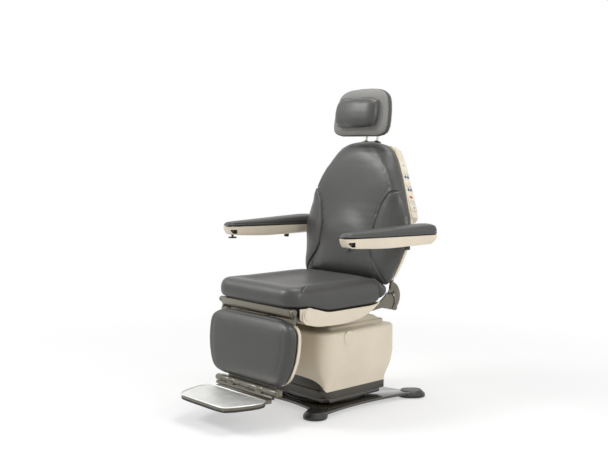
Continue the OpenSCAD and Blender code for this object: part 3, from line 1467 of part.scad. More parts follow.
module arm_frame(side) {
    color(dark) on_arm(side) difference() {
        union() {
            bar_x(arm_hub_x[0], arm_hub_x[1], arm_hub_r);
            block([arm_hub_x[0], arm_bar_x], [-arm_neck, 0], [arm_bar_z, arm_bar_z + arm_bar_h]);
            block([-arm_bar_x, arm_bar_x], [arm_block_y[1] - over, 0],
                [arm_bar_z, arm_bar_z + arm_bar_h]);
            block([-arm_block_x, arm_block_x], arm_block_y,
                [arm_block_z, arm_line(arm_block_y[1]) - face_gap]);
        }
        bar_x(arm_hub_x[0] - over, arm_hub_x[1] + over, arm_pin_r + fit_gap);
        translate([0, release_at, arm_block_z - over])
            cylinder(h = release_top + release_travel - arm_block_z + 2 * over,
                r = release_stem_r + fit_gap);
    }
}
module arm_release(side) {
    color(dark) on_arm(side) translate([0, release_at, 0]) {
        translate([0, 0, release_z[0]]) cylinder(h = release_z[1] - release_z[0], r = release_r);
        translate([0, 0, release_z[0]]) cylinder(h = release_top - release_z[0], r = release_stem_r);
    }
}
module arm_lock_knob(side) {
    color(dark) on_arm(side) translate([lock_at.x, lock_at.y, 0]) {
        translate([0, 0, lock_z[0]]) cylinder(h = lock_z[1] - lock_z[0], r = lock_r);
        translate([0, 0, lock_z[0]]) cylinder(h = lock_top - lock_z[0], r = lock_stem_r);
    }
}
module arm_frame_right() {
    arm_frame(-1);
}
module arm_shell_right() {
    arm_shell(-1);
}
module arm_pad_right() {
    arm_pad(-1);
}
module arm_release_right() {
    arm_release(-1);
}
module arm_lock_knob_right() {
    arm_lock_knob(-1);
}
module arm_frame_left() {
    arm_frame(1);
}
module arm_shell_left() {
    arm_shell(1);
}
module arm_pad_left() {
    arm_pad(1);
}
module arm_release_left() {
    arm_release(1);
}
module arm_lock_knob_left() {
    arm_lock_knob(1);
}

base_frame();
foot_caps();
levelling_pads();
swivel_ring();
turntable_plate();
plinth();
cabinet();
lift_outer_column();
lift_ram_body();
lift_middle_column();
lift_cover_lower();
lift_inner_column();
lift_ram_rod();
lift_cover_upper();
seat_frame();
hinge_plates();
hinge_pins();
front_rail();
seat_shell();
seat_board();
seat_cushion();
leg_actuator_body();
back_actuator_body();
leg_actuator_rod();
back_actuator_rod();
leg_frame();
leg_shell();
leg_pad();
foot_hinge_pin();
foot_frame();
foot_tread();
foot_rubber();
back_crescents();
back_cross_tube();
back_board();
back_shell();
back_cushion();
arm_brackets();
panel_overlay();
key_back_up();
key_back_down();
key_seat_up();
key_seat_down();
key_stop();
headrest_guide();
headrest_posts();
headrest_knob();
headrest_shell();
headrest_pad();
headrest_pillow();
arm_frame_right();
arm_shell_right();
arm_pad_right();
arm_release_right();
arm_lock_knob_right();
arm_frame_left();
arm_shell_left();
arm_pad_left();
arm_release_left();
arm_lock_knob_left();
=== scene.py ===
import json
import math

import bpy
import numpy as np
from mathutils import Matrix, Vector
from mathutils.bvhtree import BVHTree

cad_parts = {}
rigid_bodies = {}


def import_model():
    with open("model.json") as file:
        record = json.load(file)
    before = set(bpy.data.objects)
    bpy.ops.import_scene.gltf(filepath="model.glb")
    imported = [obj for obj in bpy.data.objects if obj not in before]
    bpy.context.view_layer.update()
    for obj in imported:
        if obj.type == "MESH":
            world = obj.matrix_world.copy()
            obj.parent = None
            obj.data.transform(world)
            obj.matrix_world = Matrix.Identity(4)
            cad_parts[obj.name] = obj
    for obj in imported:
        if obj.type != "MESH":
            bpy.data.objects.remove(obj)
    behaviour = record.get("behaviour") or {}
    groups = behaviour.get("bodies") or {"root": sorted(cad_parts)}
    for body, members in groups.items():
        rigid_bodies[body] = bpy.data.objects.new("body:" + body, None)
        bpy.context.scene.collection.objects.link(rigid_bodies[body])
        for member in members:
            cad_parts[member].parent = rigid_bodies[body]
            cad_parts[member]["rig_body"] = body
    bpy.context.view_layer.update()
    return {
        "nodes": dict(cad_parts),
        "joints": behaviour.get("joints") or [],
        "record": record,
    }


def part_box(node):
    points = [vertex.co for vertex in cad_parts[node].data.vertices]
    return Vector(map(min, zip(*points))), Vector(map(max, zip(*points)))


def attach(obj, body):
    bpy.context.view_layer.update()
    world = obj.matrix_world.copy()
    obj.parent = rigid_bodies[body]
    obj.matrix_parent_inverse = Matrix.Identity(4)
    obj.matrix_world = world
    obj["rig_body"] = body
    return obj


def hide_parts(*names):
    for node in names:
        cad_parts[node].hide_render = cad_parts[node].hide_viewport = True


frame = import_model()
nodes = frame["nodes"]
slots = {row["node"]: row["material_slot"] for row in frame["record"]["subparts"]}
joints = {row["name"]: row for row in frame["joints"]}
scene = bpy.context.scene
scene.view_settings.view_transform = "Standard"

TURN_Y = joints["swivel"]["pos_m"][1]
SIDES = ("right", "left")
BOTH = (1, -1)

# Camera at the picture's angle
CAMERA_AT = (2.9596, TURN_Y - 2.77494, 1.1008)
CAMERA_YAW = 48.1
CAMERA_PITCH = -5.1
CAMERA_LENS = 56.27
CAMERA_SENSOR = 36
CAMERA_SEES = (0.05, 100)

lens = bpy.data.cameras.new("picture_camera")
lens.lens = CAMERA_LENS
lens.sensor_width = CAMERA_SENSOR
lens.clip_start, lens.clip_end = CAMERA_SEES
camera = bpy.data.objects.new("picture_camera", lens)
camera.location = CAMERA_AT
camera.rotation_euler = (math.radians(90 + CAMERA_PITCH), 0, math.radians(CAMERA_YAW))
scene.collection.objects.link(camera)
scene.camera = camera


# Editing helpers
def deselect():
    bpy.ops.object.select_all(action="DESELECT")


def only(piece):
    deselect()
    piece.select_set(True)
    bpy.context.view_layer.objects.active = piece


def apply(piece, modifier):
    only(piece)
    bpy.ops.object.modifier_apply(modifier=modifier.name)


def edit(piece):
    only(piece)
    bpy.ops.object.mode_set(mode="EDIT")
    bpy.ops.mesh.select_all(action="SELECT")


def leave():
    bpy.ops.object.mode_set(mode="OBJECT")


def settle(piece):
    only(piece)
    bpy.ops.object.transform_apply(location=True, rotation=True, scale=True)


def modified(piece, kind, **values):
    """A modifier made, set and applied."""
    mod = piece.modifiers.new(kind, kind)
    for name, value in values.items():
        setattr(mod, name, value)
    apply(piece, mod)


def bevel(piece, width, segments=2, angle=40):
    modified(piece, "BEVEL", width=width, segments=segments, limit_method="ANGLE",
             angle_limit=math.radians(angle), use_clamp_overlap=True)


def smooth(piece, angle=35):
    only(piece)
    bpy.ops.object.shade_smooth_by_angle(angle=math.radians(angle))


def painted(piece, material):
    piece.data.materials.clear()
    piece.data.materials.append(material)


def linked(name, data):
    piece = bpy.data.objects.new(name, data)
    scene.collection.objects.link(piece)
    return piece


def mesh_piece(name, verts, faces):
    mesh = bpy.data.meshes.new(name)
    mesh.from_pydata(verts, [], faces)
    return linked(name, mesh)


def face_outward(piece):
    edit(piece)
    bpy.ops.mesh.normals_make_consistent(inside=False)
    leave()


WELD_GAP = 0.00002


def merged_copy(node, name):
    """A copy of a CAD node with its triangles joined into a closed skin."""
    piece = linked(name, nodes[node].data.copy())
    if piece.data.has_custom_normals:
        only(piece)
        bpy.ops.mesh.customdata_custom_splitnormals_clear()
    edit(piece)
    bpy.ops.mesh.remove_doubles(threshold=WELD_GAP)
    leave()
    return piece


def pick_faces(piece, test):
    """Enter edit mode with the faces whose centre and normal pass the test selected."""
    only(piece)
    bpy.ops.object.mode_set(mode="EDIT")
    bpy.ops.mesh.select_mode(type="FACE")
    bpy.ops.mesh.select_all(action="DESELECT")
    leave()
    for face in piece.data.polygons:
        face.select = test(face.center, face.normal)
    bpy.ops.object.mode_set(mode="EDIT")


def inset_faces(piece, test, *steps, individual=False):
    """Inset the faces that pass the test, in steps of thickness and depth."""
    pick_faces(piece, test)
    for thickness, depth in steps:
        bpy.ops.mesh.inset(thickness=thickness, depth=depth, use_individual=individual)
    leave()


def top_face(centre, normal):
    return normal.z > 0.9


def coords(piece):
    co = np.empty(len(piece.data.vertices) * 3)
    piece.data.vertices.foreach_get("co", co)
    return co.reshape(-1, 3)


def set_coords(piece, co):
    piece.data.vertices.foreach_set("co", co.ravel())
    piece.data.update()


def normals(piece):
    out = np.empty(len(piece.data.vertices) * 3)
    piece.data.vertex_normals.foreach_get("vector", out)
    return out.reshape(-1, 3)


def raised(piece, height):
    """Every point moved along its normal, by one height or by its own."""
    set_coords(piece, coords(piece) + normals(piece) * np.reshape(height, (-1, 1)))


def along(table, y):
    """The second column of a table at a place in its first."""
    return np.interp(y, [p[0] for p in table], [p[1] for p in table])


def smoothstep(v):
    v = np.clip(v, 0, 1)
    return v * v * (3 - 2 * v)


def mirrored(co):
    """The points folded on to one side of the middle."""
    return np.concatenate([np.abs(co[:, :1]), co[:, 1:]], axis=1)


# Procedural finishes, laid in Object coordinates, in metres; pattern sizes are repeats per metre
FLOW_MARKS, SPARK_GRAIN = 5, 1400
ORANGE_PEEL, ENAMEL_CLOUD, ENAMEL_FLAKE = 260, 9, 1800
RUBBED_CLOUD = 30
DRAWN_LINES, PLATE_CLOUD = 300, 25
CELL_BEND, LEATHER_CELLS, VINYL_PORES, VINYL_FOLDS, VINYL_TONE = 160, 620, 2200, 22, 7
BOARD_GRAIN = 30
FILM_EMBOSS, PRINT_WASH = 1600, 40
WORN_FROM, WORN_TO, WORN_PALER = 0.53, 0.62, 1.7
ALONG_TREAD = (1, 14, 1)
finishes = {}


def new_finish(name):
    material = bpy.data.materials.new(name)
    material.use_nodes = True
    finishes[name] = material
    shader = material.node_tree.nodes["Principled BSDF"]
    return shader, new_node(shader, "TexCoord").outputs["Object"]


def new_node(source, kind):
    """A node in the same tree as the source."""
    return source.id_data.nodes.new("ShaderNode" + kind)


def link(source, socket):
    source.id_data.links.new(source, socket)


def own_values(node, **sockets):
    """Plain values on a node's own sockets; an underscore stands for a space."""
    for socket, value in sockets.items():
        node.inputs[socket.replace("_", " ")].default_value = value


def texture(where, kind, scale, **sockets):
    node = new_node(where, "Tex" + kind)
    link(where, node.inputs["Vector"])
    node.inputs["Scale"].default_value = scale
    own_values(node, **sockets)
    return node


def noise(where, scale, detail, **sockets):
    return texture(where, "Noise", scale, Detail=detail, **sockets).outputs["Fac"]


def ramp(source, low, high, lo_at, hi_at):
    node = new_node(source, "ValToRGB")
    for element, color, at in zip(node.color_ramp.elements, (low, high), (lo_at, hi_at)):
        element.color = (*color, 1)
        element.position = at
    link(source, node.inputs["Fac"])
    return node.outputs["Color"]


def scaled(color, factor):
    return tuple(min(1.0, c * factor) for c in color)


def clouded(source, color, dark, light, lo_at=0.3, hi_at=0.7):
    """The colour made darker and lighter by a pattern."""
    return ramp(source, scaled(color, dark), scaled(color, light), lo_at, hi_at)


def spread(source, low, high, top=1.0):
    """A pattern from 0 to top spread between two values."""
    node = new_node(source, "MapRange")
    own_values(node, From_Max=top, To_Min=low, To_Max=high)
    link(source, node.inputs["Value"])
    return node.outputs["Result"]


def mixed(share, first, second):
    """Two colours mixed by a share; the second is a socket or a plain colour."""
    node = new_node(share, "Mix")
    node.data_type = "RGBA"
    link(share, node.inputs["Factor"])
    link(first, node.inputs[6])
    if isinstance(second, tuple):
        node.inputs[7].default_value = (*second, 1)
    else:
        link(second, node.inputs[7])
    return node.outputs[2]


def relief(shader, source, strength, depth, under=None):
    node = new_node(source, "Bump")
    own_values(node, Strength=strength, Distance=depth)
    link(source, node.inputs["Height"])
    if under is not None:
        link(under, node.inputs["Normal"])
    link(node.outputs["Normal"], shader.inputs["Normal"])
    return node.outputs["Normal"]


def coloured(shader, tone, matt=None, low=0.0, high=1.0):
    """The shader's colour, and its roughness where a pattern spreads it."""
    link(tone, shader.inputs["Base Color"])
    if matt is not None:
        link(spread(matt, low, high), shader.inputs["Roughness"])


def moulded_cover(name, color, rough=0.3, coat=0.25):
    """Injection moulded cover: fine spark texture, faint flow marks and a soft coat."""
    shader, where = new_finish(name)
    flow = noise(where, FLOW_MARKS, 3)
    grain = noise(where, SPARK_GRAIN, 2)
    tone = clouded(flow, color, 0.95, 1.04, 0.35, 0.65)
    coloured(shader, tone, grain, rough - 0.06, rough + 0.08)
    relief(shader, grain, 0.18, 0.0002)
    own_values(shader, Coat_Weight=coat, Coat_Roughness=0.18)


def worn_edges(tone, bare):
    """The tone with sharp outer edges rubbed towards a lighter colour."""
    geometry = new_node(tone, "NewGeometry")
    edge = new_node(tone, "MapRange")
    own_values(edge, From_Min=WORN_FROM, From_Max=WORN_TO)
    link(geometry.outputs["Pointiness"], edge.inputs["Value"])
    return mixed(edge.outputs["Result"], tone, bare)


def stove_enamel(name, color, rough=0.32, coat=0.35):
    """Sprayed enamel over steel: orange peel, fine flake and worn edges."""
    shader, where = new_finish(name)
    peel = noise(where, ORANGE_PEEL, 2)
    cloud = noise(where, ENAMEL_CLOUD, 4)
    flake = texture(where, "Voronoi", ENAMEL_FLAKE).outputs["Distance"]
    tone = worn_edges(clouded(cloud, color, 0.88, 1.1), scaled(color, WORN_PALER))
    coloured(shader, tone, flake, rough - 0.05, rough + 0.08)
    relief(shader, peel, 0.12, 0.0004)
    own_values(shader, Coat_Weight=coat, Coat_Roughness=0.12)


def dull_plastic(name, color, rough=0.5, grain_size=900, coat=0.0):
    """Textured plastic with an even grain and a cloud of lighter and darker rubbed patches."""
    shader, where = new_finish(name)
    pores = texture(where, "Voronoi", grain_size).outputs["Distance"]
    cloud = noise(where, RUBBED_CLOUD, 3)
    tone = clouded(cloud, color, 0.85, 1.25, 0.3, 0.75)
    coloured(shader, tone, pores, rough - 0.08, rough + 0.1)
    relief(shader, pores, 0.25, 0.0003)
    own_values(shader, Coat_Weight=coat, Coat_Roughness=0.2)


def bare_metal(name, color, rough, lines=(1, 1, 1)):
    """Plated or polished metal with faint drawn lines along one axis."""
    shader, where = new_finish(name)
    mapping = new_node(where, "Mapping")
    mapping.inputs["Scale"].default_value = lines
    link(where, mapping.inputs["Vector"])
    drawn = noise(mapping.outputs["Vector"], DRAWN_LINES, 3)
    cloud = noise(where, PLATE_CLOUD, 3)
    coloured(shader, clouded(cloud, color, 0.9, 1.05), drawn, rough - 0.06, rough + 0.08)
    relief(shader, drawn, 0.08, 0.0001)
    own_values(shader, Metallic=1)


def leather_cells(where):
    """Distance to the edge of irregular cells, their edges a little bent."""
    bent = texture(where, "Noise", CELL_BEND, Detail=2)
    mixer = new_node(where, "Mix")
    mixer.data_type = "VECTOR"
    mixer.inputs["Factor"].default_value = 0.002
    link(where, mixer.inputs[4])
    link(bent.outputs["Color"], mixer.inputs[5])
    cells = texture(mixer.outputs[1], "Voronoi", LEATHER_CELLS)
    cells.feature = "DISTANCE_TO_EDGE"
    return spread(cells.outputs["Distance"], 0, 1, 0.25)


def coated_vinyl(name, color, rough, grain=0.22, coat=0.0, band=None):
    """Upholstery vinyl: cells, fine pores and soft folds; a second colour, if given, is mixed in as painted
    shade where the piece's mark is 1.
    """
    shader, where = new_finish(name)
    pores = noise(where, VINYL_PORES, 2)
    fold = noise(where, VINYL_FOLDS, 3, Roughness=0.45)
    tone = noise(where, VINYL_TONE, 4)
    shade = clouded(tone, color, 0.92, 1.08)
    # Painted shade: the second colour mixed in where the piece's mark is 1
    if band:
        side = new_node(where, "Attribute")
        side.attribute_name = "band"
        shade = mixed(side.outputs["Fac"], shade, clouded(tone, band, 0.9, 1.1))
    coloured(shader, shade, tone, rough - 0.05, rough + 0.07)
    folded = relief(shader, fold, 0.12, 0.004)
    grained = relief(shader, leather_cells(where), grain, 0.00025, folded)
    relief(shader, pores, grain * 0.5, 0.0001, grained)
    own_values(shader, Coat_Weight=coat, Coat_Roughness=0.35, Sheen_Weight=0.04, Sheen_Roughness=0.5)


def stained_board(name, color):
    """Stained plywood edge and face."""
    shader, where = new_finish(name)
    grain = texture(where, "Wave", BOARD_GRAIN, Distortion=6, Detail=3).outputs["Fac"]
    coloured(shader, clouded(grain, color, 0.7, 1.3, 0, 1))
    own_values(shader, Roughness=0.7)
    relief(shader, grain, 0.2, 0.0004)


def membrane(name, color):
    """Printed membrane: a dull film with a fine emboss."""
    shader, where = new_finish(name)
    film = noise(where, FILM_EMBOSS, 1)
    wash = noise(where, PRINT_WASH, 2)
    coloured(shader, clouded(wash, color, 0.96, 1.03))
    own_values(shader, Roughness=0.38)
    relief(shader, film, 0.15, 0.0001)


CREAM = (0.76, 0.673, 0.53)
BRONZE = (0.13, 0.117, 0.084)
DARK_BRONZE = (0.048, 0.0415, 0.03)
VINYL = (0.042, 0.0415, 0.0392)
HEAD_VINYL = (0.24, 0.237, 0.225)
moulded_cover("cream_cover", CREAM)
moulded_cover("bronze_cover", DARK_BRONZE, 0.34, 0.2)
stove_enamel("base_enamel", scaled(DARK_BRONZE, 0.9), 0.18, 0.8)
stove_enamel("bronze_enamel", BRONZE, 0.34)
dull_plastic("black_plastic", (0.012, 0.0115, 0.011), 0.4, coat=0.2)
dull_plastic("black_rubber", (0.016, 0.016, 0.016), 0.6, 500)
bare_metal("zinc", (0.58, 0.59, 0.6), 0.3)
bare_metal("chrome", (0.6, 0.58, 0.52), 0.16)
bare_metal("tread_plate", (0.9, 0.9, 0.88), 0.36, ALONG_TREAD)
stained_board("dark_board", (0.03, 0.025, 0.02))
coated_vinyl("upholstery", VINYL, 0.42, coat=0.22)
# The headrest pad's faces that turn away from the front take this darker colour as painted shade
coated_vinyl("headrest_cover", HEAD_VINYL, 0.7, 0.15, band=scaled(VINYL, 1.6))
membrane("panel_membrane", (0.78, 0.72, 0.6))
bare_metal("dark_steel", (0.12, 0.115, 0.105), 0.4)
dull_plastic("key_blue", (0.03, 0.09, 0.22), 0.4, 1200)
dull_plastic("key_red", (0.7, 0.04, 0.04), 0.4, 1200)
coated_vinyl("pillow_cover", scaled(VINYL, 1.05), 0.42, coat=0.25)
# The welt is paler than the pillow's vinyl: its colour is a painted highlight along the piping
coated_vinyl("welt_cord", (0.13, 0.13, 0.125), 0.45, 0.1, coat=0.2)
dull_plastic("print_grey", (0.3, 0.36, 0.42), 0.5, 1500)
dull_plastic("print_yellow", (0.72, 0.55, 0.12), 0.5, 1500)


def mount(piece, slot_name, body, *replaced, finish=None):
    painted(piece, finishes[finish or slot_name])
    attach(piece, body)
    if replaced:
        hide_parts(*replaced)
    return piece


# Rigid parts: each CAD solid as a closed skin with its edges eased by this width
EASED = {
    0.0: "foot_caps cabinet lift_cover_lower lift_cover_upper seat_shell leg_shell back_shell "
         "headrest_shell",
    0.0004: "panel_overlay",
    0.0006: "leg_actuator_rod back_actuator_rod headrest_posts",
    0.0008: "lift_middle_column front_rail leg_actuator_body back_actuator_body foot_tread "
            "back_board headrest_guide arm_frame_right arm_frame_left",
    0.0009: "hinge_plates hinge_pins arm_brackets",
    0.001: "levelling_pads seat_frame lift_outer_column lift_inner_column seat_board leg_frame "
           "foot_hinge_pin headrest_knob",
    0.0012: "swivel_ring turntable_plate foot_frame back_crescents",
    0.002: "plinth",
    0.003: "base_frame",
    0.0032: "foot_rubber",
    0.0045: "arm_lock_knob_right arm_lock_knob_left",
}
WIDE_EASE = 0.004
FLAT_JOIN = 0.4
MADE_ANEW = {name + "_" + side for name in ("arm_shell", "arm_release", "arm_pad") for side in SIDES}
MADE_ANEW |= {"seat_cushion", "leg_pad", "back_cushion", "headrest_pad", "headrest_pillow"}
# Darker than the tread_plate studs: painted shade in the grooves between the raised squares
bare_metal("tread_ground", (0.68, 0.68, 0.66), 0.5, ALONG_TREAD)
OWN_FINISH = {"hinge_pins": "bronze_enamel", "foot_tread": "tread_ground"}

# Footrest, seen from its hinge: half widths by the reach before the hinge, as packed and as it shows
FOOT_HINGE = np.array(joints["foot_fold"]["pos_m"])
TREAD_PACKED = [(-0.233, 0.06), (-0.229, 0.1), (-0.22, 0.128), (-0.202, 0.15), (-0.176, 0.165),
                (-0.148, 0.182), (-0.1, 0.206), (-0.075, 0.206), (-0.052, 0.19), (-0.04, 0.172)]
TREAD_SHOWN = [(-0.233, 0.118), (-0.229, 0.135), (-0.218, 0.15), (-0.185, 0.168), (-0.14, 0.182),
               (-0.1, 0.19), (-0.072, 0.191), (-0.05, 0.18), (-0.04, 0.168)]
PLATE_REAR, PLATE_DROP = 0.035, 0.02
TREAD_MIDDLE, RUBBER_WIDEN = -0.136, (1.018, 1.03)
RUBBER_MIDDLE, RUBBER_RISE = 0.0415, 0.0045
CAP_FOOT, CAP_TOP_PACKED, CAP_TOP = 0.004, 0.037, 0.031
PLATE_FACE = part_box("hinge_plates")[1][0]
PIN_PROUD = 0.0002


def tread_outline(co):
    """Points of the tread's plates moved to the outline that shows."""
    y = co[:, 1] - FOOT_HINGE[1]
    plate = (y < -PLATE_REAR) & (co[:, 2] < FOOT_HINGE[2] - PLATE_DROP)
    share = along(TREAD_SHOWN, y) / along(TREAD_PACKED, y)
    co[:, 0] = np.where(plate, co[:, 0] * share, co[:, 0])
    return co


def lower_caps(co):
    lowered = CAP_FOOT + (co[:, 2] - CAP_FOOT) * (CAP_TOP - CAP_FOOT) / (CAP_TOP_PACKED - CAP_FOOT)
    co[:, 2] = np.where(co[:, 2] > CAP_FOOT, lowered, co[:, 2])
    return co


def rolled_rubber(co):
    """The rubber drawn up round the lower edge of the tread's frame."""
    co = tread_outline(co)
    middle = np.array([0, FOOT_HINGE[1] + TREAD_MIDDLE])
    co[:, :2] = middle + (co[:, :2] - middle) * RUBBER_WIDEN
    co[:, 2] = np.where(co[:, 2] > FOOT_HINGE[2] - RUBBER_MIDDLE, co[:, 2] + RUBBER_RISE, co[:, 2])
    return co


def flush_pins(co):
    """Recline pin heads let in flush with the outer hinge plates."""
    head = (np.abs(co[:, 0]) > PLATE_FACE) & (co[:, 1] > TURN_Y)
    co[:, 0] = np.where(head, np.sign(co[:, 0]) * (PLATE_FACE + PIN_PROUD), co[:, 0])
    return co


def crowned_caps(piece):
    """A low crown inside a rim on top of each foot cap."""
    bevel(piece, 0.004, 3)
    inset_faces(piece, lambda c, n: n.z > 0.99 and c.z > CAP_TOP - 0.0005,
                (0.0035, 0), (0.0015, -0.0012), (0.006, 0.0008))


RESHAPED = {"hinge_pins": flush_pins, "foot_tread": tread_outline, "foot_frame": tread_outline,
            "foot_rubber": rolled_rubber, "foot_caps": lower_caps}


def finished_solid(node, width):
    piece = merged_copy(node, node + "_skin")
    edit(piece)
    bpy.ops.mesh.dissolve_limited(angle_limit=math.radians(FLAT_JOIN))
    leave()
    if node in RESHAPED:
        set_coords(piece, RESHAPED[node](coords(piece)))
    if node == "foot_caps":
        crowned_caps(piece)
    if width:
        bevel(piece, width, 3 if width > WIDE_EASE else 2, 30)
    smooth(piece, 38)
    return mount(piece, slots[node], nodes[node]["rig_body"], node, finish=OWN_FINISH.get(node))


widths = {node: width for width, names in EASED.items() for node in names.split()}
skins = {}
for node in sorted(nodes):
    if node in widths:
        skins[node] = finished_solid(node, widths[node])
    elif node not in MADE_ANEW:
        painted(nodes[node], finishes[slots[node]])

# Soft goods: piece, draw in, voxel, furthest move under pressure and fill of each pad
PADS = {
    "back_cushion": ("backrest_cushion", 0.002, 0.006, 0.003, 0.85),
    "seat_cushion": ("seat_cushion_cover", 0.002, 0.006, 0.006, 0.85),
    "leg_pad": ("leg_rest_pad", 0.0015, 0.0055, 0.003, 0.9),
    "headrest_pad": ("headrest_pad_cover", 0.001, 0.0045, 0.002, 0.9),
    "headrest_pillow": ("headrest_pillow_cover", 0.001, 0.004, 0.007, 0.8),
    "arm_pad_right": ("arm_pad_right_cover", 0.0012, 0.004, 0.003, 0.9),
    "arm_pad_left": ("arm_pad_left_cover", 0.0012, 0.004, 0.003, 0.9),
}
FOAM_ROUNDS, PILLOW_ROUNDS, SPREAD_ROUNDS = 6, 25, 40
PRESSURE, CLOTH_FRAMES, CLOTH_QUALITY, HOLD_STEPS = 4, 20, 4, 10


def even(piece, rounds):
    modified(piece, "SMOOTH", factor=0.5, iterations=rounds)


def foam_block(node):
    """The pad's solid, remeshed evenly and drawn in a little."""
    name, inset, voxel, _, _ = PADS[node]
    piece = merged_copy(node, name)
    edit(piece)
    bpy.ops.mesh.quads_convert_to_tris()
    leave()
    modified(piece, "REMESH", mode="VOXEL", voxel_size=voxel)
    even(piece, FOAM_ROUNDS)
    raised(piece, -inset)
    return piece


def spread_out(piece, move):
    """The move of each point averaged with its neighbours', so that the cover doesn't pucker."""
    ends = np.empty(len(piece.data.edges) * 2, dtype=np.int64)
    piece.data.edges.foreach_get("vertices", ends)
    ends = ends.reshape(-1, 2)
    here, there = np.concatenate([ends, ends[:, ::-1]]).T
    count = len(move)
    degree = 1 + np.bincount(here, minlength=count)
    for _ in range(SPREAD_ROUNDS):
        total = [np.bincount(here, weights=move[there, axis], minlength=count) for axis in range(3)]
        move = (move + np.stack(total, axis=1)) / degree[:, None]
    return move


def swell(piece, node, held):
    """Cloth pressure, then a finer mesh; held weighs 1 where the cover is stapled or sewn down."""
    cap = PADS[node][3]
    group = piece.vertex_groups.new(name="held")
    for level in range(1, HOLD_STEPS + 1):
        chosen = np.nonzero(np.round(held * HOLD_STEPS).astype(int) == level)[0]
        if len(chosen):
            group.add([int(i) for i in chosen], level / HOLD_STEPS, "REPLACE")
    before = coords(piece)
    cloth = piece.modifiers.new("cover", "CLOTH")
    settings = cloth.settings
    settings.use_pressure = True
    settings.uniform_pressure_force = PRESSURE
    settings.effector_weights.gravity = 0
    settings.vertex_group_mass = "held"
    settings.quality = CLOTH_QUALITY
    cloth.collision_settings.use_collision = False
    cloth.collision_settings.use_self_collision = False
    for moment in range(1, CLOTH_FRAMES + 1):
        scene.frame_set(moment)
    apply(piece, cloth)
    scene.frame_set(1)
    move = coords(piece) - before
    length = np.linalg.norm(move, axis=1)
    factor = np.where(length > cap, cap / np.maximum(length, 1e-9), 1.0)
    set_coords(piece, before + spread_out(piece, move * factor[:, None]))
    piece.vertex_groups.clear()
    modified(piece, "SUBSURF", levels=1, render_levels=1)


def line_distance(points, line):
    """Distance of each point to a polyline, in two or three dimensions."""
    best = np.full(len(points), 1e9)
    for a, b in zip(line[:-1], line[1:]):
        a, b = np.array(a, float), np.array(b, float)
        d = b - a
        t = np.clip(((points - a) @ d) / (d @ d), 0, 1)
        best = np.minimum(best, np.linalg.norm(points - (a + t[:, None] * d), axis=1))
    return best


def groove(piece, gap, depth, width, mask=1.0):
    """A sewn seam: the cover drawn in along a line, with a slight roll beside it."""
    roll = 0.25 * depth * np.exp(-((gap - 2.6 * width) / (1.2 * width)) ** 2)
    raised(piece, (roll - depth * np.exp(-(gap / width) ** 2)) * mask)


def finished_pad(piece, node, finish=None):
    smooth(piece, 180)
    mount(piece, slots[node], nodes[node]["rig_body"], node, finish=finish)


# Frames along the backrest and the leg rest: x across, -y out of the front, z up the slope
SWEPT = 11
LEG_SLOPE = 6
BACK_AXIS = Vector(joints["recline"]["pos_m"])
LEG_AXIS = Vector(joints["leg_swing"]["pos_m"])


def leaning(axis, angle):
    return Matrix.Translation(axis) @ Matrix.Rotation(math.radians(-angle), 4, "X")


back_frame = leaning(BACK_AXIS, SWEPT)
leg_slope = leaning(LEG_AXIS, LEG_SLOPE)
BACK_REARWARD = np.array(back_frame)[:3, 1]
BACK_UPWARD = np.array(back_frame)[:3, 2]
LEG_REARWARD = np.array(leg_slope)[:3, 1]


def seen_from(frame_matrix, co):
    inverse = np.array(frame_matrix.inverted())
    return co @ inverse[:3, :3].T + inverse[:3, 3]


def from_local(frame_matrix, local):
    m = np.array(frame_matrix)
    return local @ m[:3, :3].T + m[:3, 3]


# Backrest cushion: raised side panels and a soft lumbar crown; its seam is across and up the slope
SIDE_SEAM = [(0.297, 0.462), (0.259, 0.451), (0.217, 0.432), (0.185, 0.384), (0.168, 0.323), (0.158, 0.279),
             (0.159, 0.185), (0.174, 0.150), (0.194, 0.124), (0.222, 0.09), (0.247, 0.05)]
SIDE_SEAM_DEPTH, SIDE_SEAM_WIDTH, SIDE_SEAM_HOLD = 0.0042, 0.0032, 0.008
BACK_STAPLED = 0.018
WING_RISE, WING_REACH = 0.0065, 0.03
LUMBAR_WIDE, LUMBAR_HIGH, LUMBAR_FOOT, LUMBAR_RISE = 0.163, 0.214, 0.13, 0.0046
BACK_FOOT_DROP, BACK_FOOT_OUT = 0.034, 0.01
BACK_FOOT_X, BACK_FOOT_Z = (0.16, 0.262), (0.045, 0.16)


def beyond(points, line):
    """True where a point is further out than the line at its own height."""
    line = sorted(line, key=lambda p: p[1])
    at = np.interp(points[:, 1], [p[1] for p in line], [p[0] for p in line])
    return (points[:, 0] > at) & (points[:, 1] < line[-1][1] + 0.004)


def lower_back_corners(piece):
    """The cushion's lower corners drawn down and out beside the seat."""
    local = seen_from(back_frame, coords(piece))
    down = smoothstep((np.abs(local[:, 0]) - BACK_FOOT_X[0]) / (BACK_FOOT_X[1] - BACK_FOOT_X[0]))
    down *= smoothstep((BACK_FOOT_Z[1] - local[:, 2]) / (BACK_FOOT_Z[1] - BACK_FOOT_Z[0]))
    down *= smoothstep((-local[:, 1] - 0.012) / 0.03)
    shift = -BACK_FOOT_DROP * BACK_UPWARD * down[:, None]
    shift[:, 0] += BACK_FOOT_OUT * np.sign(local[:, 0]) * down
    set_coords(piece, coords(piece) + shift)


def side_seam_gap(piece):
    """The cushion's points in the backrest's frame, those flat on one half, and their gap to the seam."""
    local = seen_from(back_frame, coords(piece))
    flat = mirrored(local)[:, [0, 2]]
    return local, flat, line_distance(flat, SIDE_SEAM)


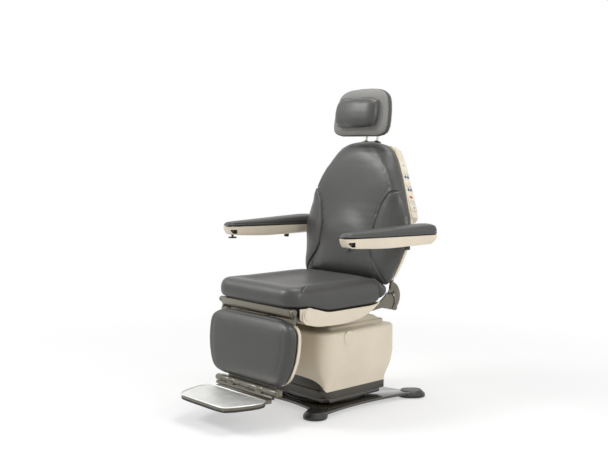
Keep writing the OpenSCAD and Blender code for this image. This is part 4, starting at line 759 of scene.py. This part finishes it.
def back_cushion():
    piece = foam_block("back_cushion")
    lower_back_corners(piece)
    local, _, seam = side_seam_gap(piece)
    front = smoothstep((-local[:, 1] - 0.03) / 0.03)
    held = np.exp(-(seam / SIDE_SEAM_HOLD) ** 2) * front + (local[:, 1] > -BACK_STAPLED)
    swell(piece, "back_cushion", np.clip(held, 0, 1))
    local, flat, seam = side_seam_gap(piece)
    front = smoothstep((-local[:, 1] - 0.025) / 0.035)
    out = np.where(beyond(flat, SIDE_SEAM), seam, 0)
    wing = WING_RISE * (out / WING_REACH) * np.exp(1 - out / WING_REACH)
    level = np.maximum(local[:, 2] - LUMBAR_FOOT, 0) / LUMBAR_HIGH
    crown = np.hypot(local[:, 0] / LUMBAR_WIDE, level)
    lumbar = LUMBAR_RISE * smoothstep((1.1 - crown) / 0.4) * smoothstep((local[:, 2] - 0.04) / 0.08)
    raised(piece, (wing + lumbar) * front)
    groove(piece, seam, SIDE_SEAM_DEPTH, SIDE_SEAM_WIDTH, front)
    finished_pad(piece, "back_cushion")


# Seat cushion: rolled front and sides round a dished top panel, with a seam over each front corner
CORNER_SEAM = [(0.188, -0.262, 0.524), (0.216, -0.308, 0.5395), (0.239, -0.345, 0.529),
               (0.244, -0.358, 0.5165), (0.2465, -0.364, 0.5025), (0.2465, -0.367, 0.486),
               (0.245, -0.368, 0.455)]
CORNER_SEAM_DEPTH, CORNER_SEAM_WIDTH = 0.0026, 0.0028
REAR_CORNER, REAR_CORNER_SHOWN, REAR_CORNER_RISE = 0.056, 0.028, 0.004
SEAT_STAPLED = 0.03


def square_corners(co):
    """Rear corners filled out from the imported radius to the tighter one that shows."""
    middle = np.array([co[:, 0].max(), co[:, 1].max()]) - REAR_CORNER
    v = mirrored(co)[:, :2] - middle
    inside = (v > 0).all(axis=1)
    length = np.maximum(np.linalg.norm(v, axis=1), 1e-9)
    u = v / length[:, None]
    shift = REAR_CORNER - REAR_CORNER_SHOWN
    b = shift * u.sum(axis=1)
    arc = b + np.sqrt(np.maximum(b * b - 2 * shift * shift + REAR_CORNER_SHOWN ** 2, 0))
    share = np.minimum(arc, REAR_CORNER / np.maximum(u.max(axis=1), 1e-6)) / REAR_CORNER
    grown = middle + v * share[:, None]
    co[:, 0] = np.where(inside, np.sign(co[:, 0]) * grown[:, 0], co[:, 0])
    co[:, 1] = np.where(inside, grown[:, 1], co[:, 1])
    return co


def seat_cushion():
    piece = foam_block("seat_cushion")
    co = square_corners(coords(piece))
    set_coords(piece, co)
    low = co[:, 2].min()
    swell(piece, "seat_cushion", (co[:, 2] < low + SEAT_STAPLED).astype(float))
    co = coords(piece)
    corner = smoothstep((np.abs(co[:, 0]) - 0.15) / 0.07)
    corner *= smoothstep((co[:, 1] - co[:, 1].max() + 0.08) / 0.05)
    co[:, 2] += REAR_CORNER_RISE * corner * smoothstep((co[:, 2] - low - 0.04) / 0.03)
    set_coords(piece, co)
    seam = [(x, y + TURN_Y, z) for x, y, z in CORNER_SEAM]
    groove(piece, line_distance(mirrored(co), seam), CORNER_SEAM_DEPTH, CORNER_SEAM_WIDTH)
    finished_pad(piece, "seat_cushion")


# Leg rest: a boxed pad with a faint seam round its edge, where the face panel meets the side band
LEG_STAPLED, LEG_BAND = 0.01, 0.026
LEG_SEAM_DEPTH, LEG_SEAM_WIDTH = 0.0008, 0.0022


def leg_pad():
    piece = foam_block("leg_pad")
    local = seen_from(leg_slope, coords(piece))
    swell(piece, "leg_pad", (local[:, 1] > -LEG_STAPLED).astype(float))
    reach = seen_from(leg_slope, coords(piece))[:, 1]
    side = np.abs(normals(piece) @ LEG_REARWARD) < 0.75
    groove(piece, np.abs(reach - (reach.min() + LEG_BAND)), LEG_SEAM_DEPTH, LEG_SEAM_WIDTH, side)
    finished_pad(piece, "leg_pad")


HEAD_STAPLED, PILLOW_STAPLED = 0.075, 0.112
PILLOW_CORNER_DRAW = 0.09


def headrest_pad():
    """The flat pad, with the faces that turn away from its front marked for painted shade in the finish."""
    pad = foam_block("headrest_pad")
    local = seen_from(back_frame, coords(pad))
    swell(pad, "headrest_pad", (local[:, 1] > -HEAD_STAPLED).astype(float))
    # Painted shade: faces turned away from the front are marked 1, for the darker colour
    facing = -normals(pad) @ BACK_REARWARD
    band = pad.data.attributes.new("band", "FLOAT", "POINT")
    band.data.foreach_set("value", smoothstep((0.62 - facing) / 0.12).astype(np.float32))
    finished_pad(pad, "headrest_pad")


def headrest_pillow():
    """The pillow, its corners drawn in."""
    pillow = foam_block("headrest_pillow")
    even(pillow, PILLOW_ROUNDS)
    local = seen_from(back_frame, coords(pillow))
    low, high = local.min(axis=0), local.max(axis=0)
    middle = (high + low) / 2
    across = (local - middle) / ((high - low) / 2)
    drawn = PILLOW_CORNER_DRAW * across[:, 0] ** 2 * across[:, 2] ** 2
    local = np.where([True, False, True], middle + (local - middle) * (1 - drawn)[:, None], local)
    set_coords(pillow, from_local(back_frame, local))
    swell(pillow, "headrest_pillow", (local[:, 1] > -PILLOW_STAPLED).astype(float))
    finished_pad(pillow, "headrest_pillow", "pillow_cover")
    return pillow


# Armrest pads: a seam runs round between the top panel and the side band, above the tray's top line
ARM_TOP_LINE = [(-0.478, 0.029), (0.046, 0.016)]
ARM_STAPLED, ARM_BAND = 0.012, 0.0125
ARM_SEAM_DEPTH, ARM_SEAM_WIDTH = 0.0016, 0.0022


def arm_pad(side):
    node = "arm_pad_" + side
    piece = foam_block(node)
    co = coords(piece)
    swell(piece, node, (co[:, 2] < co[:, 2].min() + ARM_STAPLED).astype(float))
    co = coords(piece)
    pivot = joints["arm_tilt_" + side]["pos_m"]
    tray = along(ARM_TOP_LINE, co[:, 1] - pivot[1]) + pivot[2]
    groove(piece, np.abs(co[:, 2] - tray - ARM_BAND), ARM_SEAM_DEPTH, ARM_SEAM_WIDTH)
    finished_pad(piece, node)


back_cushion()
seat_cushion()
leg_pad()
headrest_pad()
pillow = headrest_pillow()
for side in SIDES:
    arm_pad(side)


# Welt: a cord that follows the pillow's outline at one depth; its paler colour is a painted highlight along
# the piping
WELT_DEPTH, WELT_SLAB, WELT_RADIUS, WELT_POINTS = -0.119, 0.004, 0.0017, 120


def edge_path(piece):
    """The pad's outline near the welt's depth in the backrest's frame."""
    local = seen_from(back_frame, coords(piece))
    near = local[np.abs(local[:, 1] - WELT_DEPTH) < WELT_SLAB][:, [0, 2]]
    middle = (near.max(axis=0) + near.min(axis=0)) / 2
    spoke = near - middle
    turn = np.arctan2(spoke[:, 1], spoke[:, 0])
    reach = np.linalg.norm(spoke, axis=1)
    steps = np.linspace(-math.pi, math.pi, WELT_POINTS, endpoint=False)
    out = np.empty(WELT_POINTS)
    for k, step in enumerate(steps):
        gap = np.abs((turn - step + math.pi) % (2 * math.pi) - math.pi)
        out[k] = reach[gap < 2.2 * math.pi / WELT_POINTS].max()
    for _ in range(2):
        out = (np.roll(out, 1) + 2 * out + np.roll(out, -1)) / 4
    across, up = middle[0] + out * np.cos(steps), middle[1] + out * np.sin(steps)
    return from_local(back_frame, np.stack([across, np.full(WELT_POINTS, WELT_DEPTH), up], axis=1))


def cord_loop(name, points, radius):
    """A closed tube through the points."""
    curve = bpy.data.curves.new(name, "CURVE")
    curve.dimensions = "3D"
    curve.bevel_depth = radius
    curve.bevel_resolution = 2
    spline = curve.splines.new("POLY")
    spline.points.add(len(points) - 1)
    for at, point in zip(spline.points, points):
        at.co = (*point, 1)
    spline.use_cyclic_u = True
    only(linked(name, curve))
    bpy.ops.object.convert(target="MESH")
    piece = bpy.context.active_object
    smooth(piece, 180)
    return piece


welt = cord_loop("pillow_welt", edge_path(pillow), WELT_RADIUS)
mount(welt, "headrest_cover", "headrest", finish="welt_cord")


# Small parts are modelled once and copied to their places
def primitive(name, kind, **settings):
    deselect()
    getattr(bpy.ops.mesh, f"primitive_{kind}_add")(**settings)
    piece = bpy.context.active_object
    piece.name = name
    settle(piece)
    return piece


def round_bar(name, radius, length, at, sides=24, **settings):
    return primitive(name, "cylinder", vertices=sides, radius=radius, depth=length, location=at, **settings)


def joined(name, pieces):
    only(pieces[0])
    for piece in pieces[1:]:
        piece.select_set(True)
    bpy.ops.object.join()
    pieces[0].name = name
    return pieces[0]


def copied(master, name, places):
    made = []
    for place in places:
        made.append(linked(name, master.data.copy()))
        made[-1].data.transform(place)
    bpy.data.objects.remove(master)
    return joined(name, made)


def screw_head(radius, height):
    head = round_bar("screw_head", radius, height, (0, 0, height / 2))
    inset_faces(head, top_face, (radius * 0.5, 0), (radius * 0.05, -height * 0.7))
    bevel(head, 0.0006, 2, 50)
    smooth(head)
    return head


# Fasteners are seated where a ray meets the skin, sunk by a little
HEAD_SINK = 0.0004
trees = {}


def seated(node, start, direction):
    """The place where a ray meets a skin, with z along the outward normal."""
    if node not in trees:
        mesh = skins[node].data
        trees[node] = BVHTree.FromPolygons([v.co.copy() for v in mesh.vertices],
                                           [tuple(p.vertices) for p in mesh.polygons])
    point, normal, _, _ = trees[node].ray_cast(Vector(start), Vector(direction).normalized())
    if normal.dot(Vector(direction)) > 0:
        normal = -normal
    turn = normal.to_track_quat("Z", "Y").to_matrix().to_4x4()
    return Matrix.Translation(point - normal * HEAD_SINK) @ turn


def fasten(name, head, node, slot_name, rays):
    places = [seated(node, start, direction) for start, direction in rays]
    return mount(copied(head, name, places), slot_name, nodes[node]["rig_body"])


def from_behind(matrix, *spots):
    """Rays forward on to a cover, through places across and up its frame, on both sides."""
    forward = matrix.to_3x3() @ Vector((0, -1, 0))
    return [(matrix @ Vector((x * s, 0.3, z)), forward) for s in BOTH for x, z in spots]


def from_the_sides(start, y, z):
    return [((s * start, y, z), (-s, 0, 0)) for s in BOTH]


def before_hinge(*places):
    """Rays backward on to the footrest's hinge."""
    return [((x, FOOT_HINGE[1] - 0.2, FOOT_HINGE[2] + 0.001), (0, 1, 0)) for x in places]


# Name, radius and height of the head, node, slot and rays of each set
FASTENERS = (
    ("back_cover_screws", 0.0052, 0.0022, "back_shell", "zinc",
     from_behind(back_frame, (0.236, 0.392), (0.188, 0.5), (0.13, 0.605), (0.11, 0.15))),
    ("headrest_screws", 0.004, 0.0022, "headrest_shell", "zinc",
     from_behind(back_frame, (0.09, 0.73), (0.09, 0.84))),
    ("leg_cover_screws", 0.0052, 0.0022, "leg_shell", "zinc",
     from_behind(leg_slope, (0.2, -0.11), (0.2, -0.22), (0.1, -0.268))),
    ("cabinet_screws", 0.0045, 0.0022, "cabinet", "zinc",
     [((x, TURN_Y + 0.5, z), (0, -1, 0)) for x in (-0.14, 0.14) for z in (0.125, 0.3)]),
    ("recline_bolts", 0.0042, 0.004, "hinge_plates", "chrome",
     from_the_sides(0.4, BACK_AXIS.y + 0.012, BACK_AXIS.z + 0.008)),
    ("recline_stop_pins", 0.0052, 0.003, "hinge_plates", "dark_steel",
     from_the_sides(0.4, BACK_AXIS.y + 0.016, BACK_AXIS.z - 0.03)),
    ("knuckle_set_screws", 0.0034, 0.0016, "foot_frame", "dark_steel",
     before_hinge(-0.083, 0.083, -0.099, 0.099)),
    ("sleeve_set_screws", 0.0034, 0.0016, "leg_frame", "dark_steel", before_hinge(-0.15, -0.03, 0.03, 0.15)),
)
for name, radius, height, node, slot_name, rays in FASTENERS:
    fasten(name, screw_head(radius, height), node, slot_name, rays)

# Crowned caps on the seat shell's front bosses
BOSS_REACH, BOSS_Z = 0.321, 0.433
boss = round_bar("boss", 0.022, 0.003, (0, 0, 0.0008), 48)
inset_faces(boss, top_face, (0.007, 0.0014))
bevel(boss, 0.0014, 3, 20)
smooth(boss, 60)
fasten("shell_bosses", boss, "seat_shell", "cream_cover", from_the_sides(0.5, TURN_Y - BOSS_REACH, BOSS_Z))

# Recline pivot, outer side: a black strip down each hinge plate, a dark piece put where the gap beside the
# crescent is only in shade: painted shade
STRIP = [(-0.002, 0.02), (0.004, 0.013), (0.0125, 0.003), (0.0185, -0.01), (0.0175, -0.026), (0.011, -0.04),
         (0.003, -0.05)]
STRIP_HALF, STRIP_RISES = 0.0032, (-0.0005, 0.0012)


def gap_shadow_strips():
    line = np.array(STRIP)
    run = np.gradient(line, axis=0)
    run /= np.linalg.norm(run, axis=1)[:, None]
    side_step = np.stack([-run[:, 1], run[:, 0]], axis=1) * STRIP_HALF
    n = len(line)
    faces = [(a + k, a + k + 1, b + k + 1, b + k) for k in range(n - 1)
             for a, b in ((0, n), (n, 3 * n), (3 * n, 2 * n), (2 * n, 0))]
    faces += [(0, n, 3 * n, 2 * n), (n - 1, 2 * n - 1, 4 * n - 1, 3 * n - 1)]
    made = []
    for s in BOTH:
        verts = [(s * (PLATE_FACE + rise), BACK_AXIS.y + y, BACK_AXIS.z + z) for rise in STRIP_RISES
                 for edge in (line + side_step, line - side_step) for y, z in edge]
        piece = mesh_piece("edging", verts, faces)
        face_outward(piece)
        bevel(piece, 0.0004)
        smooth(piece)
        made.append(piece)
    mount(joined("recline_edging_strips", made), "black_rubber", "seat")


gap_shadow_strips()

# Footrest: a tread of small raised squares, a bright bead along the front and plugs in the cross bar
STUD_PITCH, STUD_SIDE, STUD_RISE, STUD_EDGE = 0.01, 0.0071, 0.0005, 0.011
STUD_ROWS, STUD_SHOULDER = (-0.226, -0.05), 0.55
BEAD_SIDES, BEAD_TURN = (-0.045, -0.185, 15), (-0.2, -0.21, -0.218, -0.2235, -0.229, -0.233)
BEAD_RADIUS, BEAD_INSET, BEAD_SINK = 0.0019, 0.0012, 0.0004
PLUG_X, PLUG_REACH, PLUG_DROP = 0.1785, 0.013, 0.0175
TREAD_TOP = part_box("foot_tread")[1][2]


def tread_studs():
    stud = primitive("stud", "cube", size=1, location=(0, 0, 0.5))
    inset_faces(stud, top_face, (0.16, 0))
    base = coords(stud)
    rim = (base[:, 2] > 0.9) & (np.abs(base[:, 0]) > 0.45)
    base[:, 2] = np.where(rim, STUD_SHOULDER, base[:, 2])
    faces = [tuple(p.vertices) for p in stud.data.polygons if p.normal.z > -0.9]
    bpy.data.objects.remove(stud)
    verts, polygons = [], []
    for y in np.arange(*STUD_ROWS, STUD_PITCH):
        half = min(along(TREAD_SHOWN, y - STUD_SIDE / 2), along(TREAD_SHOWN, y + STUD_SIDE / 2)) - STUD_EDGE
        count = int(half / STUD_PITCH)
        for x in np.arange(-count, count + 1) * STUD_PITCH:
            start = len(verts) * len(base)
            at = np.array([x, FOOT_HINGE[1] + y, TREAD_TOP - 0.0001])
            verts.append(base * (STUD_SIDE, STUD_SIDE, STUD_RISE) + at)
            polygons += [tuple(i + start for i in face) for face in faces]
    mount(mesh_piece("tread_studs", np.concatenate(verts).tolist(), polygons), "tread_plate", "foot")


def tread_bead():
    """A rolled bead round the front and sides of the tread."""
    y = np.concatenate([np.linspace(*BEAD_SIDES), BEAD_TURN])
    reach = FOOT_HINGE[1] + y + np.where(y < -0.2, 0.001, 0)
    side = np.stack([along(TREAD_SHOWN, y) - BEAD_INSET, reach], axis=1)
    line = np.concatenate([side, side[::-1] * (-1, 1)])
    bead = cord_loop("tread_bead", [(x, y, TREAD_TOP - BEAD_SINK) for x, y in line], BEAD_RADIUS)
    mount(bead, "tread_plate", "foot")


def bar_plugs():
    places = [Matrix.Translation((s * PLUG_X, FOOT_HINGE[1] - PLUG_REACH, FOOT_HINGE[2] - PLUG_DROP))
              @ Matrix.Rotation(s * math.pi / 2, 4, "Y") for s in BOTH]
    plug = round_bar("plug", 0.0062, 0.004, (0, 0, 0.0018))
    inset_faces(plug, top_face, (0.0022, 0.0008))
    bevel(plug, 0.0008)
    smooth(plug)
    mount(copied(plug, "bar_plugs", places), "black_plastic", "foot")


tread_studs()
tread_bead()
bar_plugs()

# Armrests, seen from their pivots: the tray with its latch window, the latch and the release button
ARM_HALF = [(-0.478, 0.008), (-0.472, 0.018), (-0.462, 0.025), (-0.446, 0.029), (-0.4, 0.034),
            (-0.25, 0.042), (-0.06, 0.045), (0.02, 0.045), (0.036, 0.042), (0.043, 0.035)]
ARM_LOW = [(-0.474, 0.025), (-0.467, 0.016), (-0.458, 0.002), (-0.448, -0.007), (-0.413, -0.011),
           (-0.38, -0.014), (-0.32, -0.018), (-0.24, -0.021), (0, -0.021), (0.02, -0.014), (0.034, 0),
           (0.042, 0.01)]
ARM_ROUND = [(-0.474, 0.0015), (-0.458, 0.003), (-0.43, 0.005), (-0.38, 0.011)]
ARM_ROWS = (-0.474, -0.471, -0.467, -0.462, -0.453, -0.446, -0.43, -0.413, -0.38, -0.33, -0.28, -0.24,
            -0.12, 0, 0.012, 0.024, 0.034, 0.039, 0.042)
ARM_INSET, TRAY_WALL = 0.001, 0.003
WINDOW_ROWS, WINDOW_TOP = (-0.462, -0.43), 0.015
LATCH_SIZE, LATCH_AT, LATCH_ROD_AT, LATCH_Z = (0.046, 0.013, 0.011), -0.4465, -0.4345, 0.0065
BUTTON_AT, BUTTON_R, BUTTON_Z = -0.434, 0.019, (-0.0235, -0.018)


def tray_section(y):
    half, low, top = along(ARM_HALF, y) - ARM_INSET, along(ARM_LOW, y), along(ARM_TOP_LINE, y)
    r = min(along(ARM_ROUND, y), (top - low) * 0.45, half * 0.9)
    side = [(half - r + r * math.sin(a), low + r - r * math.cos(a)) for a in np.linspace(0, math.pi / 2, 5)]
    side += [(half, max(WINDOW_TOP, low + r + 0.0008)), (half, top)]
    return [(-x, z) for x, z in reversed(side)] + side


def arm_tray(side, pivot):
    verts, faces = [], []
    count = len(tray_section(0))
    for k, y in enumerate(ARM_ROWS):
        verts += [(pivot[0] + x, pivot[1] + y, pivot[2] + z) for x, z in tray_section(y)]
        for i in range(count - 1 if k else 0):
            window = WINDOW_ROWS[0] < y <= WINDOW_ROWS[1] and i in (1, count - 3)
            if not window:
                a, b = (k - 1) * count + i, k * count + i
                faces.append((a, a + 1, b + 1, b))
    faces += [tuple(range(count))[::-1], tuple(range((len(ARM_ROWS) - 1) * count, len(ARM_ROWS) * count))]
    piece = mesh_piece("arm_tray_" + side, verts, faces)
    face_outward(piece)
    if min(piece.data.polygons, key=lambda p: p.center.z).normal.z > 0:
        edit(piece)
        bpy.ops.mesh.flip_normals()
        leave()
    modified(piece, "SOLIDIFY", thickness=TRAY_WALL, offset=-1)
    smooth(piece, 32)
    mount(piece, "cream_cover", "arm_" + side, "arm_shell_" + side)


def arm_latch(side, pivot):
    x, y, z = pivot
    name = "arm_latch_" + side
    latch = primitive(name, "cube", size=1, scale=LATCH_SIZE, location=(x, y + LATCH_AT, z + LATCH_Z))
    inset_faces(latch, lambda c, n: abs(n.x) > 0.9, (0.0028, 0), (0.0008, 0.0026), individual=True)
    bevel(latch, 0.001)
    at = (x, y + LATCH_ROD_AT, z + LATCH_Z)
    rod = round_bar("latch_rod", 0.0032, 0.05, at, 20, rotation=(0, math.pi / 2, 0))
    bevel(rod, 0.0008)
    latch = joined(name, [latch, rod])
    smooth(latch)
    mount(latch, "black_plastic", "arm_" + side)


def arm_button(side, pivot):
    x, y, z = pivot
    low, high = BUTTON_Z
    name, at = "arm_button_" + side, (x, y + BUTTON_AT, z + (low + high) / 2)
    button = round_bar(name, BUTTON_R, high - low, at, 48)
    inset_faces(button, lambda c, n: n.z < -0.9, (0.004, 0), (0.002, -0.0015))
    bevel(button, 0.0018, 3)
    stem = round_bar("stem", 0.005, 0.034, (x, y + BUTTON_AT, z + high + 0.0165))
    button = joined(name, [button, stem])
    smooth(button)
    mount(button, "black_plastic", "arm_release_body_" + side, "arm_release_" + side)


for side in SIDES:
    for make in (arm_tray, arm_latch, arm_button):
        make(side, joints["arm_tilt_" + side]["pos_m"])

# Control panel, seen from its lower end: small printed signs beside the keys
PANEL_FOOT, PANEL_HEAD = (0.3, 0.345), (0.166, 0.612)
PANEL_TURN = math.atan2(PANEL_FOOT[0] - PANEL_HEAD[0], PANEL_HEAD[1] - PANEL_FOOT[1])
PANEL_FACE, PRINT_RISE = 0.0024, 0.0006
panel_frame = (back_frame @ Matrix.Translation((PANEL_FOOT[0], 0, PANEL_FOOT[1]))
               @ Matrix.Rotation(-PANEL_TURN, 4, "Y"))


def sign_bars(name, slot_name, bars, finish=None):
    """Flat bars on the panel: across, along, length, width and turn of each."""
    bar = primitive("bar", "cube", size=1, location=(0, 0, 0))
    inset_faces(bar, lambda c, n: n.x > 0.9, (0.08, 0))
    places = []
    for across, up, length, width, turn in bars:
        size = Matrix.Diagonal((PRINT_RISE, width, length, 1))
        places.append(panel_frame @ Matrix.Translation((PANEL_FACE, across, up))
                      @ Matrix.Rotation(math.radians(turn), 4, "X") @ size)
    mount(copied(bar, name, places), slot_name, "back", finish=finish)


def chair_sign(across, up):
    return [(across - 0.003, up + 0.004, 0.009, 0.0016, 18), (across + 0.001, up, 0.0016, 0.008, 0),
            (across + 0.0055, up - 0.0035, 0.007, 0.0016, 12)]


sign_bars("panel_chair_signs", "key_blue",
          [bar for up in (0.205, 0.144) for across in (0.012, 0.03) for bar in chair_sign(across, up)])
sign_bars("panel_chair_backs", "key_blue",
          [(0.021, 0.246, 0.0022, 0.016, 12), (0.016, 0.251, 0.009, 0.0022, 25)], "print_grey")
sign_bars("panel_arrows", "panel_membrane",
          [(0.021, 0.218, 0.002, 0.007, 35), (0.021, 0.157, 0.002, 0.007, 35),
           (0.024, 0.2205, 0.005, 0.002, 0), (0.024, 0.1595, 0.005, 0.002, 0)], "print_yellow")
rows = [(across, up, 0.0035, 0.0055, 0) for across in (0.012, 0.021, 0.03) for up in (0.079, 0.071, 0.063)]
sign_bars("panel_memory_signs", "panel_membrane", rows, "print_grey")
sign_bars("panel_blue_signs", "key_blue",
          [(0.012, 0.096, 0.006, 0.006, 45), (0.024, 0.046, 0.007, 0.0055, 0)])

# Headrest posts: collars where they leave the backrest
POST_X, COLLAR_RADIUS, COLLAR_CORD, COLLAR_STRETCH, COLLAR_RISE = 0.033, 0.0078, 0.0019, 1.5, 0.0015


def post_collars():
    top = seen_from(back_frame, coords(skins["headrest_guide"]))[:, 2].max()
    ring = primitive("ring", "torus", major_radius=COLLAR_RADIUS, minor_radius=COLLAR_CORD,
                     major_segments=32, minor_segments=12)
    set_coords(ring, coords(ring) * (1, 1, COLLAR_STRETCH))
    smooth(ring, 180)
    places = [back_frame @ Matrix.Translation((s * POST_X, -0.001, top + COLLAR_RISE)) for s in BOTH]
    mount(copied(ring, "post_collars", places), "bronze_enamel", nodes["headrest_guide"]["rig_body"])


post_collars()


# Studio: a pale floor that keeps the shadow and turns white further out, a white surround and soft lamps
def seen_directly(source):
    """1 for rays from the camera, off gloss and through glass, 0 for the rays that light the object."""
    path = new_node(source, "LightPath")
    total = path.outputs["Is Camera Ray"]
    for ray in ("Is Glossy Ray", "Is Transmission Ray"):
        total = combined("MAXIMUM", total, path.outputs[ray])
    return total


def combined(operation, first, second):
    node = new_node(first, "Math")
    node.operation = operation
    link(first, node.inputs[0])
    link(second, node.inputs[1])
    return node.outputs[0]


FLOOR_SIZE, FLOOR_GREY = 60, (0.93, 0.93, 0.93)
FLOOR_WHITE_NEAR = 0.5
FLOOR_FADE = (0.9, 2.4)
WORLD_LIGHT = 0.42
LAMPS = (
    ("key", (-2.2, -2.6, 3.4), (0, 0, 0.7), 1.3, 92),
    ("fill", (3.4, 0.6, 2.0), (0, 0, 0.6), 1.4, 40),
    ("top", (0.3, 0.6, 3.8), (0, 0, 0.5), 1.8, 52),
)


def pale_floor():
    """The floor's finish, which fades to plain white away from the object."""
    shader, where = new_finish("pale_floor")
    own_values(shader, Base_Color=(*FLOOR_GREY, 1), Roughness=0.9, Specular_IOR_Level=0.1)
    reach = new_node(where, "VectorMath")
    reach.operation = "LENGTH"
    link(where, reach.inputs[0])
    fade = new_node(where, "MapRange")
    fade.interpolation_type = "SMOOTHSTEP"
    own_values(fade, From_Min=FLOOR_FADE[0], From_Max=FLOOR_FADE[1], To_Min=FLOOR_WHITE_NEAR, To_Max=1.0)
    link(reach.outputs["Value"], fade.inputs["Value"])
    share = combined("MULTIPLY", fade.outputs["Result"], seen_directly(shader))
    white, both = new_node(where, "Emission"), new_node(where, "MixShader")
    for source, socket in ((share, "Fac"), (shader.outputs[0], 1), (white.outputs[0], 2)):
        link(source, both.inputs[socket])
    link(both.outputs[0], shader.id_data.nodes["Material Output"].inputs["Surface"])


def studio():
    floor = primitive("floor", "plane", size=FLOOR_SIZE, location=(0, 0, 0))
    pale_floor()
    painted(floor, finishes["pale_floor"])
    scene.world = bpy.data.worlds.new("studio")
    scene.world.use_nodes = True
    background = scene.world.node_tree.nodes["Background"]
    background.inputs["Color"].default_value = (1, 1, 1, 1)
    link(spread(seen_directly(background), WORLD_LIGHT, 1.0), background.inputs["Strength"])
    for name, at, to, size, power in LAMPS:
        lamp = bpy.data.lights.new(name, "AREA")
        lamp.size = size
        lamp.energy = power
        light = linked(name, lamp)
        light.location = at
        light.rotation_euler = (Vector(to) - Vector(at)).to_track_quat("-Z", "Y").to_euler()


studio()
